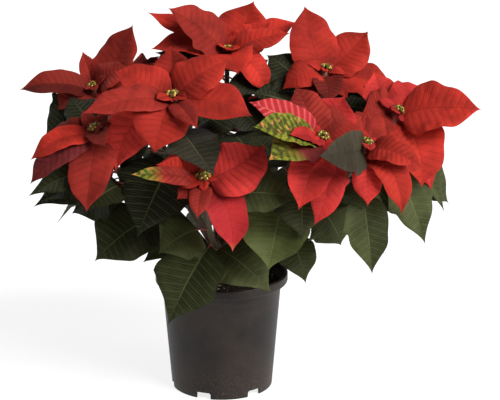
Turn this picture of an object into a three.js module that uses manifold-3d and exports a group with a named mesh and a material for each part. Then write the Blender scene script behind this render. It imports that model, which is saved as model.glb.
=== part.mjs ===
// A poinsettia in a round nursery pot, in millimetres, +Z up.
// The origin is the middle of the pot's underside, and the plant faces -Y.
//
// Every shoot is three bodies: a leafy stem, a rosette of bracts on its end, and a
// cluster of cyathia on top. The shoots grow from one woody trunk that stands in the soil.

import * as THREE from 'three';
import { mergeVertices } from 'three/addons/utils/BufferGeometryUtils.js';
import Module from 'manifold-3d';

const wasm = await Module();
wasm.setup();

// ---------------------------------------------------------------- driving dimensions

const GAP = 0.3;                 // between two bodies that touch

const POT_HEIGHT = 125;
const POT_SEGMENTS = 36;
const RIM_RADIUS = 70;
const RIM_BAND = 10.5;           // height of the turned-out rim
const SHOULDER_RADIUS = 63;      // outside of the wall, just under the rim
const BASE_RADIUS = 53.5;
const WALL = 1.6;
const FLOOR = 2;
const FOOT_CHAMFER = 1.2;
const RIM_FLARE = 3.5;           // height in which the wall turns out to the rim
const RIM_ROUND = 2.5;           // height of the rim's rounded upper edge
const RIM_CREST_INSET = 3;       // from the rim's outside in to its highest ring
const SLOT_COUNT = 6;
const SLOT_WIDTH = 15.5;
const SLOT_HEIGHT = 7;
const SLOT_FIRST = -110.5;       // degrees about +Z, from +X
const SLOT_REACH = 12;           // how far a slot runs in under the floor

const SOIL_BELOW_RIM = 12;
const SOIL_ROUGHNESS = 2.2;
const SOIL_CROWN = 2;            // the middle is this much higher than the edge
const SOIL_RINGS = [0.86, 0.6, 0.3];     // shares of its radius
const SOIL_GAP = GAP + 0.2;      // to the pot's wall, whose flats come closer than its corners

const TRUNK_RADIUS = 6.5;
const TRUNK_TOP_RADIUS = 4.5;
const TRUNK_SIDES = 8;
const TRUNK_ROOT = 45;           // height of its lower end, in the soil
const TRUNK_TOP = 168;
const HOLE_ABOVE_SOIL = 10;      // how far the trunk's hole is cut past the soil's top
const STUB_START = 5.1;          // from the trunk's middle to a stub's start, inside the bark
const STUB_REACH = 17;           // and to its end
const STUB_FOOT_RADIUS = 4.4;
const STUB_RADIUS = 3.9;
const STUB_LOWEST = 124;
const STUB_STEP = 13;            // height between the three tiers of stubs
const STUB_SIDES = 5;
const STUB_RISE = 42;            // degrees above level

const STEM_SIDES = 5;
const STEM_STEPS = 6;
const STEM_FOOT_RADIUS = 3.5;
const STEM_TOP_RADIUS = 2.6;
const STEM_PULL = 0.38;          // length of a stem's end that runs straight, as a share

const HUB_LENGTH = 15;
const HUB_FOOT_RADIUS = 3.1;
const HUB_TOP_RADIUS = 3.7;
const HEAD_LEAN = 0.0032;        // outward lean of a head, for each mm from the pot's axis
const LIGHT = new THREE.Vector3(0, -0.85, 0.53);   // the plant's front turns its blades to it
const FACING = 0.62;             // how far a blade turns from level to its light
const BACK_FACING = 0.35;        // the same at the back, where the light is above and outside

const ROOT_OFFSET = 1.6;         // from a head's axis to a bract's root
const PETIOLE_WIDTH = 2.4;
const BLADE_THICKNESS = 1.4;
const SPINE_BELLY = 0.42;        // where along a blade its spine is pulled up into an arch
const NARROW = 31;               // widest blade with the fewer stations
const WIDE_STATIONS = [0.08, 0.3, 0.55, 0.8];      // from a blade's base to its point
const NARROW_STATIONS = [0.12, 0.4, 0.74];
const RIPPLE = 0.05;             // height of an edge's wave, for each mm of width
const RIPPLE_TURN = 9;           // radians of wave from a blade's base to its point
const RIPPLE_LAG = 1.9;          // radians that one edge's wave is behind the other's
const RIPPLE_START = [0.37, 0.61];       // radians, for each mm that the blade reaches in x and z
const BRACT_DEPTHS = [2.5, 12.5];        // under the head: roots of bracts that point up, and down

const BRACT = { petiole: 0.13, belly: 0.74, taper: 0.9, fold: 0.22 };
const LEAF = { petiole: 0.3, belly: 0.72, taper: 0.8, fold: 0.2 };

// Degrees that a blade may be lifted, and swung, about its root to pass clear of the others.
const LIFTS = [0, 4, -4, 8, -8, 12, -12, 17, -17];
const SWINGS = [0, 5, -5];
const CLEARANCE = 0.5;           // round a blade, to the other nodes
const OWN_CLEARANCE = 0.1;       // and to the blades of its own node

// ---------------------------------------------------------------- shoots

// head: the middle of the head, under its cyathia. tier: 0 to 2, the stub's height.
// bracts: each blade's point from the head (x, y, z), then width, arch and roll in degrees.
// leaves: the same, after the leaf's place on the stem, from 0 at its foot to 1.
const SHOOTS = [
  {
    head: [6, 70, 348], tier: 2,
    bracts: [
      [-87, 25, 37, 28, 6],
      [-62, -12, 47, 54, 8],
      [-82, -12, -1, 36, 12],
      [28, 38, 47, 64, -6],
      [47, 12, 26, 40, -2],
      [68, 0, 15, 38, 8],
      [44, -30, -40, 32, 22],
      [12, -45, -23, 36, 12],
      [76, 35, 24, 34, 8],
    ],
    leaves: [
      [0.9, -72, -25, 9, 38, 10],
      [0.93, 20, -20, -54, 54, 12],
      [0.75, 36, -55, -65, 46, 10],
      [0.8, -23, -50, -97, 50, 14],
      [0.97, 41, -32, -36, 40, 8],
    ],
  },
  {
    head: [-47, -60, 327], tier: 2,
    bracts: [
      [-16, -52, -47, 60, 12],
      [29, -58, -29, 24, 8],
      [81, -25, -20, 48, 14],
      [56, 12, 33, 50, 10],
      [-2, 28, 45, 42, -4],
      [-58, 8, 22, 40, 8],
      [-86, -44, -9, 36, 12],
      [-56, -22, -73, 46, 10, 0, 14],
    ],
    front: [
      [0.9, 44, -108, -55, 46, 0, 0, 0, 0.13],
    ],
    leaves: [
      [0.72, -34, -45, -134, 72, 14, 0, 0, 0.2],
      [0.8, 53, -35, -47, 46, 14],
      [0.92, -24, 15, -55, 46, 8],
      [0.6, -45, -10, -95, 56, 12, 0, 0, 0.2],
    ],
  },
  {
    head: [-124, -70, 295], tier: 1,
    bracts: [
      [-64, -10, -30, 28, 16],
      [-65, -30, -43, 34, 14],
      [13, -32, -11, 20, 8],
      [-5, -52, -71, 46, 6],
      [10, 24, 12, 14, 5],
      [-14, 24, 12, 14, 5],
    ],
    leaves: [
      [0.78, -66, -20, -64, 36, 16],
      [0.7, -55, -10, -72, 34, 12],
      [0.6, -27, 10, -91, 46, 14],
      [0.4, -4, 0, -138, 62, 12, 0, 0, 0.2],
      [0.66, -11, -25, -85, 34, 14],
      [0.15, 43, 20, -146, 22, 8],
      [0.92, -31, 70, 14, 40, 8],
      [0.42, 19, 58, -42, 42, 8],
    ],
  },
  {
    head: [-133, 20, 319], tier: 0,
    bracts: [
      [-76, -8, -2, 34, 12],
      [-36, -18, -17, 38, 10],
      [-12, 20, 34, 20, -4],
      [42, 12, 63, 50, -4],
      [40, -12, 22, 40, 8],
      [28, -25, -7, 18, 6],
    ],
    leaves: [
      [0.93, -51, -15, -55, 50, 18],
      [0.9, -21, -60, -32, 46, 10],
      [0.6, -35, -20, -106, 50, 16],
      [0.75, 51, -50, -71, 44, 10],
    ],
  },
  {
    head: [-88, 95, 320], tier: 1,
    bracts: [],
    leaves: [
      [0.85, 11, -35, -46, 44, 10],
    ],
  },
  {
    head: [110, 60, 330], tier: 1,
    bracts: [
      [-22, 20, 64, 56, -6],
      [44, 15, 44, 50, -4],
      [-47, -30, -17, 32, 16],
      [2, -50, -27, 34, 8],
      [23, -26, -26, 22, 8],
      [-27, -34, -31, 32, 10],
      [77, 22, -28, 56, 8],
    ],
    leaves: [
      [0.88, -61, 10, 15, 40, 12],
      [0.88, 60, 30, -7, 36, 8],
      [0.7, -67, -20, -51, 44, 12],
      [0.75, 15, -30, -81, 46, 10],
      [0.8, -82, -30, -23, 46, 10],
      [0.85, 60, -38, -40, 50, 8],
    ],
  },
  {
    head: [182, -10, 300], tier: 0,
    bracts: [
      [82, -20, 6, 56, 8],
      [34, 40, 14, 50, 6],
      [-22, 22, 40, 46, -4],
      [21, -42, -70, 50, 12, 0, -7],
      [37, -16, -80, 36, 18],
      [-38, -8, 0, 44, 4],
    ],
    leaves: [
      [0.9, 31, -35, -132, 44, 14],
      [0.95, 51, 5, -110, 20, 16],
      [0.3, -94, -25, -178, 38, 14],
      [0.7, -3, -25, -104, 50, 14],
    ],
  },
  {
    head: [100, -110, 297], tier: 2,
    bracts: [
      [-68, -62, 24, 28, 6],
      [-51, -66, -3, 30, 8],
      [-69, -16, 40, 34, 8],
      [-36, -46, 10, 22, 4],
      [-24, -50, -60, 44, 10],
      [-9, -32, -81, 34, 10, 0, -10],
      [39, 15, 21, 42, 8],
      [-4, 25, 39, 14, -4],
      [-25, 20, 46, 34, 6],
      [22, 20, 36, 38, -4],
    ],
    leaves: [
      [0.6, -52, -15, -132, 66, 14],
      [0.75, -19, -20, -99, 46, 14],
      [0.85, -60, 45, -31, 44, 10],
      [0.72, -70, 90, -21, 44, 8],
      [0.55, -58, 85, -62, 46, 8],
    ],
  },
  {
    head: [145, -90, 285], tier: 1,
    bracts: [
      [-52, -90, 10, 44, 8, -42],
      [-1, -35, -54, 34, 8],
      [31, -40, -64, 34, 12, 0, -8],
      [0, 10, 32, 14, -3],
      [49, -30, -15, 34, 10],
    ],
    leaves: [
      [0.95, 6, -20, -129, 42, 12],
      [0.6, -23, 20, -111, 52, 12],
      [0.85, -3, -20, -63, 30, 10],
    ],
  },
  {
    head: [-15, -136, 264], tier: 0,
    bracts: [
      [-41, -6, 19, 26, 6],
      [-72, -22, 2, 20, 6],
      [-25, -15, -19, 20, 4],
      [-5, -30, -34, 22, 8],
      [29, -38, -61, 46, 10, 0, -9],
      [56, 6, 38, 50, 8, 0, 8],
    ],
    leaves: [
      [0.42, -38, 42, -167, 66, 10, 0, 0, 0.06],
      [0.3, 67, 36, -131, 62, 10, 0, 0, 0.08],
      [0.9, 95, 8, -25, 50, 12],
      [0.6, -43, 6, -71, 58, 12],
    ],
  },
  // Four low shoots at the back.
  { head: [62, 158, 262], tier: 0, bracts: [], leaves: [] },
  { head: [-32, 168, 268], tier: 1, bracts: [], leaves: [] },
  { head: [-120, 140, 258], tier: 0, bracts: [], leaves: [] },
  { head: [150, 112, 262], tier: 0, bracts: [], leaves: [] },
];

// Bracts that a rule adds to each head.
const FILL_GAP = 72;             // widest angle left open between two bracts of a head
const FILL_LENGTH = 66;
const FILL_LENGTH_BAND = 0.3;    // how far their lengths differ, as a share
const FILL_WIDTH = 36;
const FILL_ARCH = 10;
const FILL_DROOP = [-1, 25];     // degrees below level
const FILL_FRONT = 0.2;          // a laid head gets none that reach further forward, for each mm

// Leaves that a rule adds to each stem.
const RULE_LEAVES = [0.3, 0.4, 0.5, 0.6, 0.7, 0.78, 0.86, 0.94];   // places on the stem
const RULE_LEAF_LENGTH = 100;
const RULE_LEAF_WIDTH = 50;
const RULE_LEAF_BAND = 0.4;      // how far their lengths and widths differ, as a share
const RULE_LEAF_ARCH = 14;
const RULE_LEAF_DROOP = [8, 48];         // degrees below level
const RULE_LEAF_FRONT = -30;     // no point of theirs comes further forward
const GOLDEN_ANGLE = 137.5;

const URN_SIDES = 4;
const URN_HEIGHT = 7;
const URN_RADIUS = 2.3;
const MIDDLE_URN_RADIUS = 3.45;
const URN_FOOT = 0.6;            // its foot's share of its radius
const URN_BELLY = 0.65;          // where up its height it is widest
const OUTER_URNS = 3;
const OUTER_URN_LEAN = 0.75;     // outward, for each mm up
const OUTER_URN_RISE = 1.6;      // its foot above the middle urn's foot
const OUTER_URN_OFFSET = 1.15;   // and out from it
const OUTER_URN_TURN = 30;       // degrees that one may be turned on from its even place
const OUTER_URN_BAND = 0.3;      // how far their heights differ, as a share

// ---------------------------------------------------------------- materials

const material = (color, roughness) => new THREE.MeshStandardMaterial({ color, roughness, metalness: 0 });
const POT_PLASTIC = material(0x2b2727, 0.5);
const PEAT = material(0x2a211b, 0.95);
const BARK = material(0x6b5538, 0.85);
const LEAF_GREEN = material(0x35471f, 0.6);
const BRACT_RED = material(0xc4231f, 0.55);
const CYATHIA_YELLOW = material(0xa3a23a, 0.5);

// ---------------------------------------------------------------- solids

const radians = THREE.MathUtils.degToRad;
const UP = new THREE.Vector3(0, 0, 1);

// A repeatable number from 0 to 1 for a seed.
function chance(seed) {
  const x = Math.sin(seed * 127.1 + 11.7) * 43758.5453;
  return x - Math.floor(x);
}

// A repeatable number near 1, in a band of a given width.
const nearOne = (band, seed) => 1 + band * (chance(seed) - 0.5);

// A repeatable number between two ends.
const between = ([low, high], seed) => low + (high - low) * chance(seed);

function toSolid(geometry) {
  let shape = geometry.clone();
  shape.deleteAttribute('normal');
  shape.deleteAttribute('uv');
  shape = mergeVertices(shape, 1e-4);
  return new wasm.Manifold(new wasm.Mesh({
    numProp: 3,
    vertProperties: new Float32Array(shape.attributes.position.array),
    triVerts: new Uint32Array(shape.index.array),
  }));
}

function toMesh(name, solid, surface) {
  const { vertProperties, triVerts } = solid.getMesh();
  const geometry = new THREE.BufferGeometry();
  geometry.setAttribute('position', new THREE.BufferAttribute(vertProperties, 3));
  geometry.setIndex(new THREE.BufferAttribute(triVerts, 1));
  const mesh = new THREE.Mesh(geometry, surface);
  mesh.name = name;
  return mesh;
}

// A closed skin over rings of points. Each ring runs right, top, left, bottom (or on round
// a stem), seen along the way of travel. Edge points are even and ridge points odd, and both
// sides of a blade are split from edge to ridge, so its faces never cross.
function loft(rings, tip) {
  const sides = rings[0].length;
  const points = rings.flat();
  const faces = [];
  for (let i = 0; i < rings.length - 1; i += 1) {
    for (let k = 0; k < sides; k += 1) {
      const near = i * sides;
      const far = near + sides;
      const next = (k + 1) % sides;
      if (k % 2 === 0) {
        faces.push([near + k, far + k, far + next], [near + k, far + next, near + next]);
      } else {
        faces.push([near + k, far + k, near + next], [far + k, far + next, near + next]);
      }
    }
  }
  for (let k = 1; k < sides - 1; k += 1) faces.push([0, k, k + 1]);
  const last = (rings.length - 1) * sides;
  if (tip) {
    points.push(tip);
    for (let k = 0; k < sides; k += 1) {
      faces.push([last + k, points.length - 1, last + (k + 1) % sides]);
    }
  } else {
    for (let k = 1; k < sides - 1; k += 1) faces.push([last, last + k + 1, last + k]);
  }
  const geometry = new THREE.BufferGeometry().setFromPoints(points);
  geometry.setIndex(faces.flat());
  return toSolid(geometry);
}

// A round bar along a curve, tapering from one radius to another.
function bar(curve, steps, sides, startRadius, endRadius) {
  const rings = [];
  for (let i = 0; i <= steps; i += 1) {
    const along = curve.getTangentAt(i / steps);
    const centre = curve.getPointAt(i / steps);
    const radius = THREE.MathUtils.lerp(startRadius, endRadius, i / steps);
    const right = perpendicular(new THREE.Vector3(1, 0.013, 0.021), along);
    const top = right.clone().cross(along);
    rings.push(Array.from({ length: sides }, (_, k) => {
      const angle = (k / sides) * 2 * Math.PI;
      return centre.clone()
        .addScaledVector(right, radius * Math.cos(angle))
        .addScaledVector(top, radius * Math.sin(angle));
    }));
  }
  return loft(rings);
}

function perpendicular(vector, along) {
  return vector.clone().addScaledVector(along, -vector.dot(along)).normalize();
}

// ---------------------------------------------------------------- pot and soil

const shoulder = POT_HEIGHT - RIM_BAND;
const soilTop = POT_HEIGHT - SOIL_BELOW_RIM;
const wallRadius = (z) => THREE.MathUtils.lerp(BASE_RADIUS, SHOULDER_RADIUS, z / shoulder);

// A turned wall with a thicker, turned-out rim, and slots through the foot of the wall.
function makePot() {
  const profile = [
    [0, 0],
    [BASE_RADIUS - FOOT_CHAMFER, 0],
    [BASE_RADIUS, FOOT_CHAMFER],
    [SHOULDER_RADIUS, shoulder - 1],
    [RIM_RADIUS, shoulder + RIM_FLARE],
    [RIM_RADIUS, POT_HEIGHT - RIM_ROUND],
    [RIM_RADIUS - 1.3, POT_HEIGHT - 0.4],
    [RIM_RADIUS - RIM_CREST_INSET, POT_HEIGHT],
    [SHOULDER_RADIUS + 1, shoulder + RIM_FLARE - 1],
    [SHOULDER_RADIUS - WALL, shoulder - 2],
    [wallRadius(FLOOR) - WALL, FLOOR],
    [0, FLOOR],
  ];
  const lathe = new THREE.LatheGeometry(profile.map(([r, z]) => new THREE.Vector2(r, z)), POT_SEGMENTS);
  let pot = toSolid(lathe.rotateX(Math.PI / 2));
  for (let i = 0; i < SLOT_COUNT; i += 1) {
    const slot = new THREE.BoxGeometry(SLOT_REACH * 2, SLOT_WIDTH, SLOT_HEIGHT * 2);
    slot.translate(BASE_RADIUS, 0, 0);
    slot.rotateZ(radians(SLOT_FIRST + (i * 360) / SLOT_COUNT));
    pot = pot.subtract(toSolid(slot));
  }
  return pot;
}

// The pot's inside, less the gap, with an uneven top and a plain hole for the trunk.
function makeSoil() {
  const wall = wallRadius(soilTop) - WALL - SOIL_GAP;
  const foot = wallRadius(FLOOR) - WALL - SOIL_GAP;
  const circle = (radius, height) => Array.from({ length: POT_SEGMENTS }, (_, k) => {
    const angle = (k / POT_SEGMENTS) * 2 * Math.PI;
    return new THREE.Vector3(-radius * Math.sin(angle), -radius * Math.cos(angle), height(k));
  });
  const level = FLOOR + GAP;
  const rings = [
    circle(foot, () => level),
    circle(wall, () => soilTop - SOIL_CROWN),
    ...SOIL_RINGS.map((share, i) => circle(wall * share, (k) => (
      soilTop + SOIL_ROUGHNESS * (chance(k * 7 + i * 131) - 0.5) + SOIL_CROWN * (1 - share)))),
  ];
  const soil = loft(rings, new THREE.Vector3(0, 0, soilTop + SOIL_CROWN));
  const depth = soilTop + HOLE_ABOVE_SOIL - (TRUNK_ROOT - GAP);
  const hole = new THREE.CylinderGeometry(TRUNK_RADIUS + GAP, TRUNK_RADIUS + GAP, depth, TRUNK_SIDES);
  hole.rotateX(Math.PI / 2).translate(0, 0, soilTop + HOLE_ABOVE_SOIL - depth / 2);
  return soil.subtract(toSolid(hole));
}

// ---------------------------------------------------------------- trunk and stems

// The stub's foot, in the trunk, and the direction it leaves in, towards its shoot's head.
function stubOf(shoot) {
  const [x, y] = shoot.head;
  const foot = new THREE.Vector3(0, 0, STUB_LOWEST + shoot.tier * STUB_STEP);
  const rise = radians(STUB_RISE);
  const level = new THREE.Vector3(x, y, 0).normalize().multiplyScalar(Math.cos(rise));
  return { foot, way: level.addScaledVector(UP, Math.sin(rise)) };
}

function makeTrunk() {
  const height = TRUNK_TOP - TRUNK_ROOT;
  const post = new THREE.CylinderGeometry(TRUNK_TOP_RADIUS, TRUNK_RADIUS, height, TRUNK_SIDES);
  let trunk = toSolid(post.rotateX(Math.PI / 2).translate(0, 0, TRUNK_ROOT + height / 2));
  for (const shoot of SHOOTS) {
    const { foot, way } = stubOf(shoot);
    const line = new THREE.LineCurve3(
      foot.clone().addScaledVector(way, STUB_START),
      foot.clone().addScaledVector(way, STUB_REACH),
    );
    trunk = trunk.add(bar(line, 1, STUB_SIDES, STUB_FOOT_RADIUS, STUB_RADIUS));
  }
  return trunk;
}

const headAxis = ([x, y]) => new THREE.Vector3(x * HEAD_LEAN, y * HEAD_LEAN, 1).normalize();

// The stem leaves its stub straight, and comes up into the head along the head's axis.
function stemCurve(shoot) {
  const { foot, way } = stubOf(shoot);
  const start = foot.clone().addScaledVector(way, STUB_REACH + GAP);
  const end = new THREE.Vector3(...shoot.head).addScaledVector(headAxis(shoot.head), -HUB_LENGTH - GAP);
  const pull = start.distanceTo(end) * STEM_PULL;
  return new THREE.CubicBezierCurve3(
    start,
    start.clone().addScaledVector(way, pull),
    end.clone().addScaledVector(headAxis(shoot.head), -pull),
    end,
  );
}

function makeHub(shoot) {
  const top = new THREE.Vector3(...shoot.head);
  const foot = top.clone().addScaledVector(headAxis(shoot.head), -HUB_LENGTH);
  return bar(new THREE.LineCurve3(foot, top), 1, STEM_SIDES, HUB_FOOT_RADIUS, HUB_TOP_RADIUS);
}

// One small urn of the cyathia.
function makeUrn(root, way, height, radius) {
  const first = perpendicular(new THREE.Vector3(1, 0, 0), way);
  const second = first.clone().cross(way);
  const ring = (up, share) => Array.from({ length: URN_SIDES }, (_, k) => {
    const angle = (k * 2 * Math.PI) / URN_SIDES;
    return root.clone().addScaledVector(way, up)
      .addScaledVector(first, radius * share * Math.cos(angle))
      .addScaledVector(second, radius * share * Math.sin(angle));
  });
  return loft([ring(0, URN_FOOT), ring(height * URN_BELLY, 1)], root.clone().addScaledVector(way, height));
}

// A middle urn, with smaller ones that lean out round it.
function makeCyathia(shoot, seed) {
  const axis = headAxis(shoot.head);
  const foot = new THREE.Vector3(...shoot.head).addScaledVector(axis, GAP);
  const right = perpendicular(new THREE.Vector3(1, 0, 0), axis);
  let cluster = makeUrn(foot, axis, URN_HEIGHT, MIDDLE_URN_RADIUS);
  for (let i = 0; i < OUTER_URNS; i += 1) {
    const angle = (i * 360) / OUTER_URNS + OUTER_URN_TURN * chance(seed + i);
    const side = right.clone().applyAxisAngle(axis, radians(angle));
    const way = axis.clone().addScaledVector(side, OUTER_URN_LEAN).normalize();
    const root = foot.clone().addScaledVector(axis, OUTER_URN_RISE).addScaledVector(side, OUTER_URN_OFFSET);
    const height = URN_HEIGHT * nearOne(OUTER_URN_BAND, seed * 3 + i);
    cluster = cluster.add(makeUrn(root, way, height, URN_RADIUS));
  }
  return cluster;
}

// ---------------------------------------------------------------- blades

// One blade's ring: right edge, top, left edge, underside.
function bladeRing(spine, place, facing, half, thickness, lifts) {
  const centre = spine.getPoint(place);
  const along = spine.getTangent(place);
  const right = along.clone().cross(facing).normalize();
  const normal = right.clone().cross(along);
  const at = (across, up) => centre.clone().addScaledVector(right, across).addScaledVector(normal, up);
  return [at(half, lifts[0]), at(0, thickness / 2), at(-half, lifts[1]), at(0, -thickness / 2)];
}

// A blade from its root to its point: a thin petiole, then a leaf-shaped skin whose ridge
// follows the spine. grow makes the fatter copy that tests for clearance.
function makeBlade(blade, grow, bladeOnly) {
  const { root, tip, form } = blade;
  const chord = tip.clone().sub(root);
  const along = chord.clone().normalize();
  const facing = perpendicular(blade.facing, along).applyAxisAngle(along, radians(blade.roll));
  const belly = root.clone().addScaledVector(chord, SPINE_BELLY).addScaledVector(facing, 2 * blade.arch)
    .addScaledVector(along.clone().cross(facing), 2 * blade.bow);
  const spine = new THREE.QuadraticBezierCurve3(root, belly, tip);
  const rings = [];
  if (!bladeOnly) {
    const stalk = PETIOLE_WIDTH / 2 + grow;
    rings.push(bladeRing(spine, 0, facing, stalk, 2 * stalk, [0, 0]));
    rings.push(bladeRing(spine, form.petiole, facing, stalk, 2 * stalk, [0, 0]));
  }
  for (const s of blade.stations) {
    const share = 0.5 * Math.sin(Math.PI * s ** form.belly) ** form.taper;
    const half = share * blade.width + grow;
    const wave = RIPPLE * blade.width * Math.sin(Math.PI * s);
    const turn = RIPPLE_TURN * s + blade.phase;
    const lifts = [0, RIPPLE_LAG].map((lag) => form.fold * half + wave * Math.sin(turn + lag));
    const place = form.petiole + (1 - form.petiole) * s;
    rings.push(bladeRing(spine, place, facing, half, BLADE_THICKNESS + 2 * grow, lifts));
  }
  return loft(rings, tip.clone().addScaledVector(along, grow));
}

// The same blade with its point lifted and swung about its root.
function turned(blade, lift, swing) {
  const chord = blade.tip.clone().sub(blade.root);
  const along = chord.clone().normalize();
  const facing = perpendicular(blade.facing, along);
  const right = along.clone().cross(facing);
  chord.applyAxisAngle(right, radians(lift)).applyAxisAngle(facing, radians(swing));
  return { ...blade, tip: blade.root.clone().add(chord) };
}

// Bodies already in place: a solid, the node it belongs to and, for a blade, its skin alone.
const placed = [];

function place(node, solid, skin = null) {
  placed.push({ node, solid, skin, box: solid.boundingBox() });
}

function boxesMeet(a, b) {
  return [0, 1, 2].every((axis) => a.min[axis] <= b.max[axis] && b.min[axis] <= a.max[axis]);
}

// Clear of every other node, and of the other blades' skins in its own node if it keeps apart.
function isClear(node, blade, apart) {
  const fat = makeBlade(blade, CLEARANCE, false);
  const skin = makeBlade(blade, OWN_CLEARANCE, true);
  const box = fat.boundingBox();
  return placed.every((other) => {
    if (!boxesMeet(box, other.box)) return true;
    if (other.node !== node) return fat.intersect(other.solid).isEmpty();
    return !apart || other.skin === null || skin.intersect(other.skin).isEmpty();
  });
}

// Puts a blade in its first clear pose. A blade laid by hand may end up crossing others of
// its own node, and one that has no clear pose is left out.
function addBlade(node, blade, byHand) {
  const poses = SWINGS.flatMap((swing) => LIFTS.map((lift) => turned(blade, lift, swing)));
  const pose = poses.find((each) => isClear(node, each, true))
    ?? (byHand ? poses.find((each) => isClear(node, each, false)) : undefined);
  if (pose) place(node, makeBlade(pose, 0, false), makeBlade(pose, 0, true));
}

function facingOf(shoot, axis) {
  if (shoot.bracts.length > 0) return axis.clone().lerp(LIGHT, FACING);
  const outside = new THREE.Vector3(shoot.head[0], shoot.head[1], 0).normalize();
  return axis.clone().lerp(outside, BACK_FACING);
}

const phaseOf = (x, z) => x * RIPPLE_START[0] + z * RIPPLE_START[1];
const stationsOf = (width) => (width > NARROW ? WIDE_STATIONS : NARROW_STATIONS);

function bractOf(shoot, [x, y, z, width, arch, roll = 0, bow = 0]) {
  const head = new THREE.Vector3(...shoot.head);
  const axis = headAxis(shoot.head);
  const reach = new THREE.Vector3(x, y, z);
  const depth = THREE.MathUtils.lerp(...BRACT_DEPTHS, reach.angleTo(axis) / Math.PI);
  const offset = perpendicular(reach, axis).multiplyScalar(ROOT_OFFSET);
  return {
    root: head.clone().addScaledVector(axis, -depth).add(offset),
    tip: head.clone().add(reach),
    facing: facingOf(shoot, axis),
    phase: phaseOf(x, z),
    stations: stationsOf(width),
    form: BRACT,
    width,
    arch,
    roll,
    bow,
  };
}

function leafOf(shoot, [at, x, y, z, width, arch, roll = 0, bow = 0, petiole = LEAF.petiole]) {
  const head = new THREE.Vector3(...shoot.head);
  return {
    root: stemCurve(shoot).getPointAt(at),
    tip: head.add(new THREE.Vector3(x, y, z)),
    facing: facingOf(shoot, UP),
    phase: phaseOf(x, z),
    stations: stationsOf(width),
    form: { ...LEAF, petiole },
    width,
    arch,
    roll,
    bow,
  };
}

// Bracts that close the widest open angles of a head, as seen along its axis.
function fillBracts(shoot, seed) {
  const axis = headAxis(shoot.head);
  const right = perpendicular(new THREE.Vector3(1, 0, 0), axis);
  const back = axis.clone().cross(right);
  const angles = shoot.bracts.map(([x, y, z]) => {
    const reach = new THREE.Vector3(x, y, z);
    return THREE.MathUtils.radToDeg(Math.atan2(reach.dot(back), reach.dot(right)));
  });
  if (angles.length === 0) angles.push(360 * chance(seed) - 180);
  const rows = [];
  for (;;) {
    angles.sort((a, b) => a - b);
    const spans = angles.map((angle, i) => (angles[i + 1] ?? angles[0] + 360) - angle);
    const widest = spans.indexOf(Math.max(...spans));
    if (spans[widest] < FILL_GAP) return rows;
    const angle = angles[widest] + spans[widest] / 2;
    const length = FILL_LENGTH * nearOne(FILL_LENGTH_BAND, seed * 5 + rows.length);
    const droop = radians(between(FILL_DROOP, seed * 9 + rows.length));
    const reach = right.clone().applyAxisAngle(axis, radians(angle));
    reach.multiplyScalar(length * Math.cos(droop)).addScaledVector(axis, -length * Math.sin(droop));
    const isInFront = shoot.bracts.length > 0 && reach.y < FILL_FRONT * length;
    if (!isInFront) rows.push([reach.x, reach.y, reach.z, FILL_WIDTH, FILL_ARCH]);
    angles.push(angle > 180 ? angle - 360 : angle);
  }
}

// Leaves up the stem, each turned from the last by the golden angle.
function ruleLeaves(shoot, seed) {
  const curve = stemCurve(shoot);
  const head = new THREE.Vector3(...shoot.head);
  return RULE_LEAVES.flatMap((at, i) => {
    const angle = radians(GOLDEN_ANGLE * i + 360 * chance(seed + 0.5));
    const length = RULE_LEAF_LENGTH * nearOne(RULE_LEAF_BAND, seed * 7 + i);
    const width = RULE_LEAF_WIDTH * nearOne(RULE_LEAF_BAND, seed * 13 + i);
    const droop = radians(between(RULE_LEAF_DROOP, seed * 11 + i));
    const level = length * Math.cos(droop);
    const reach = new THREE.Vector3(
      level * Math.cos(angle), level * Math.sin(angle), -length * Math.sin(droop));
    const tip = curve.getPointAt(at).add(reach);
    if (tip.y < RULE_LEAF_FRONT) return [];
    tip.sub(head);
    return [[at, tip.x, tip.y, tip.z, width, RULE_LEAF_ARCH]];
  });
}

// ---------------------------------------------------------------- the plant

const nameOf = (kind, index) => `${kind}_${String(index + 1).padStart(2, '0')}`;

place('pot', makePot());
place('soil', makeSoil());
place('trunk', makeTrunk());
SHOOTS.forEach((shoot, i) => {
  const stem = bar(stemCurve(shoot), STEM_STEPS, STEM_SIDES, STEM_FOOT_RADIUS, STEM_TOP_RADIUS);
  place(nameOf('leafy_stem', i), stem);
  place(nameOf('bracts', i), makeHub(shoot));
  place(nameOf('cyathia', i), makeCyathia(shoot, i));
});

// The blades laid by hand come first, from the front of the plant to what lies behind it,
// and those made by rule fill the room that is left.
const STAGES = [
  { kind: 'leafy_stem', rowsOf: (shoot) => shoot.front ?? [], toBlade: leafOf, byHand: true },
  { kind: 'bracts', rowsOf: (shoot) => shoot.bracts, toBlade: bractOf, byHand: true },
  { kind: 'leafy_stem', rowsOf: (shoot) => shoot.leaves, toBlade: leafOf, byHand: true },
  { kind: 'bracts', rowsOf: fillBracts, toBlade: bractOf, byHand: false },
  { kind: 'leafy_stem', rowsOf: ruleLeaves, toBlade: leafOf, byHand: false },
];
for (const { kind, rowsOf, toBlade, byHand } of STAGES) {
  SHOOTS.forEach((shoot, i) => {
    for (const row of rowsOf(shoot, i)) {
      const blade = toBlade(shoot, row);
      if (!byHand) blade.stations = NARROW_STATIONS;
      addBlade(nameOf(kind, i), blade, byHand);
    }
  });
}

const SURFACES = {
  pot: POT_PLASTIC,
  soil: PEAT,
  trunk: BARK,
  leafy_stem: LEAF_GREEN,
  bracts: BRACT_RED,
  cyathia: CYATHIA_YELLOW,
};
const group = new THREE.Group();
for (const node of new Set(placed.map((body) => body.node))) {
  const solids = placed.filter((body) => body.node === node).map((body) => body.solid);
  const surface = SURFACES[node.replace(/_\d+$/, '')].clone();
  group.add(toMesh(node, solids.reduce((a, b) => a.add(b)), surface));
}
export default group;
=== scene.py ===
"""Dresses a packed poinsettia in a nursery pot: fine bracts, leaves, stems, cyathia, soil and pot."""

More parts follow.
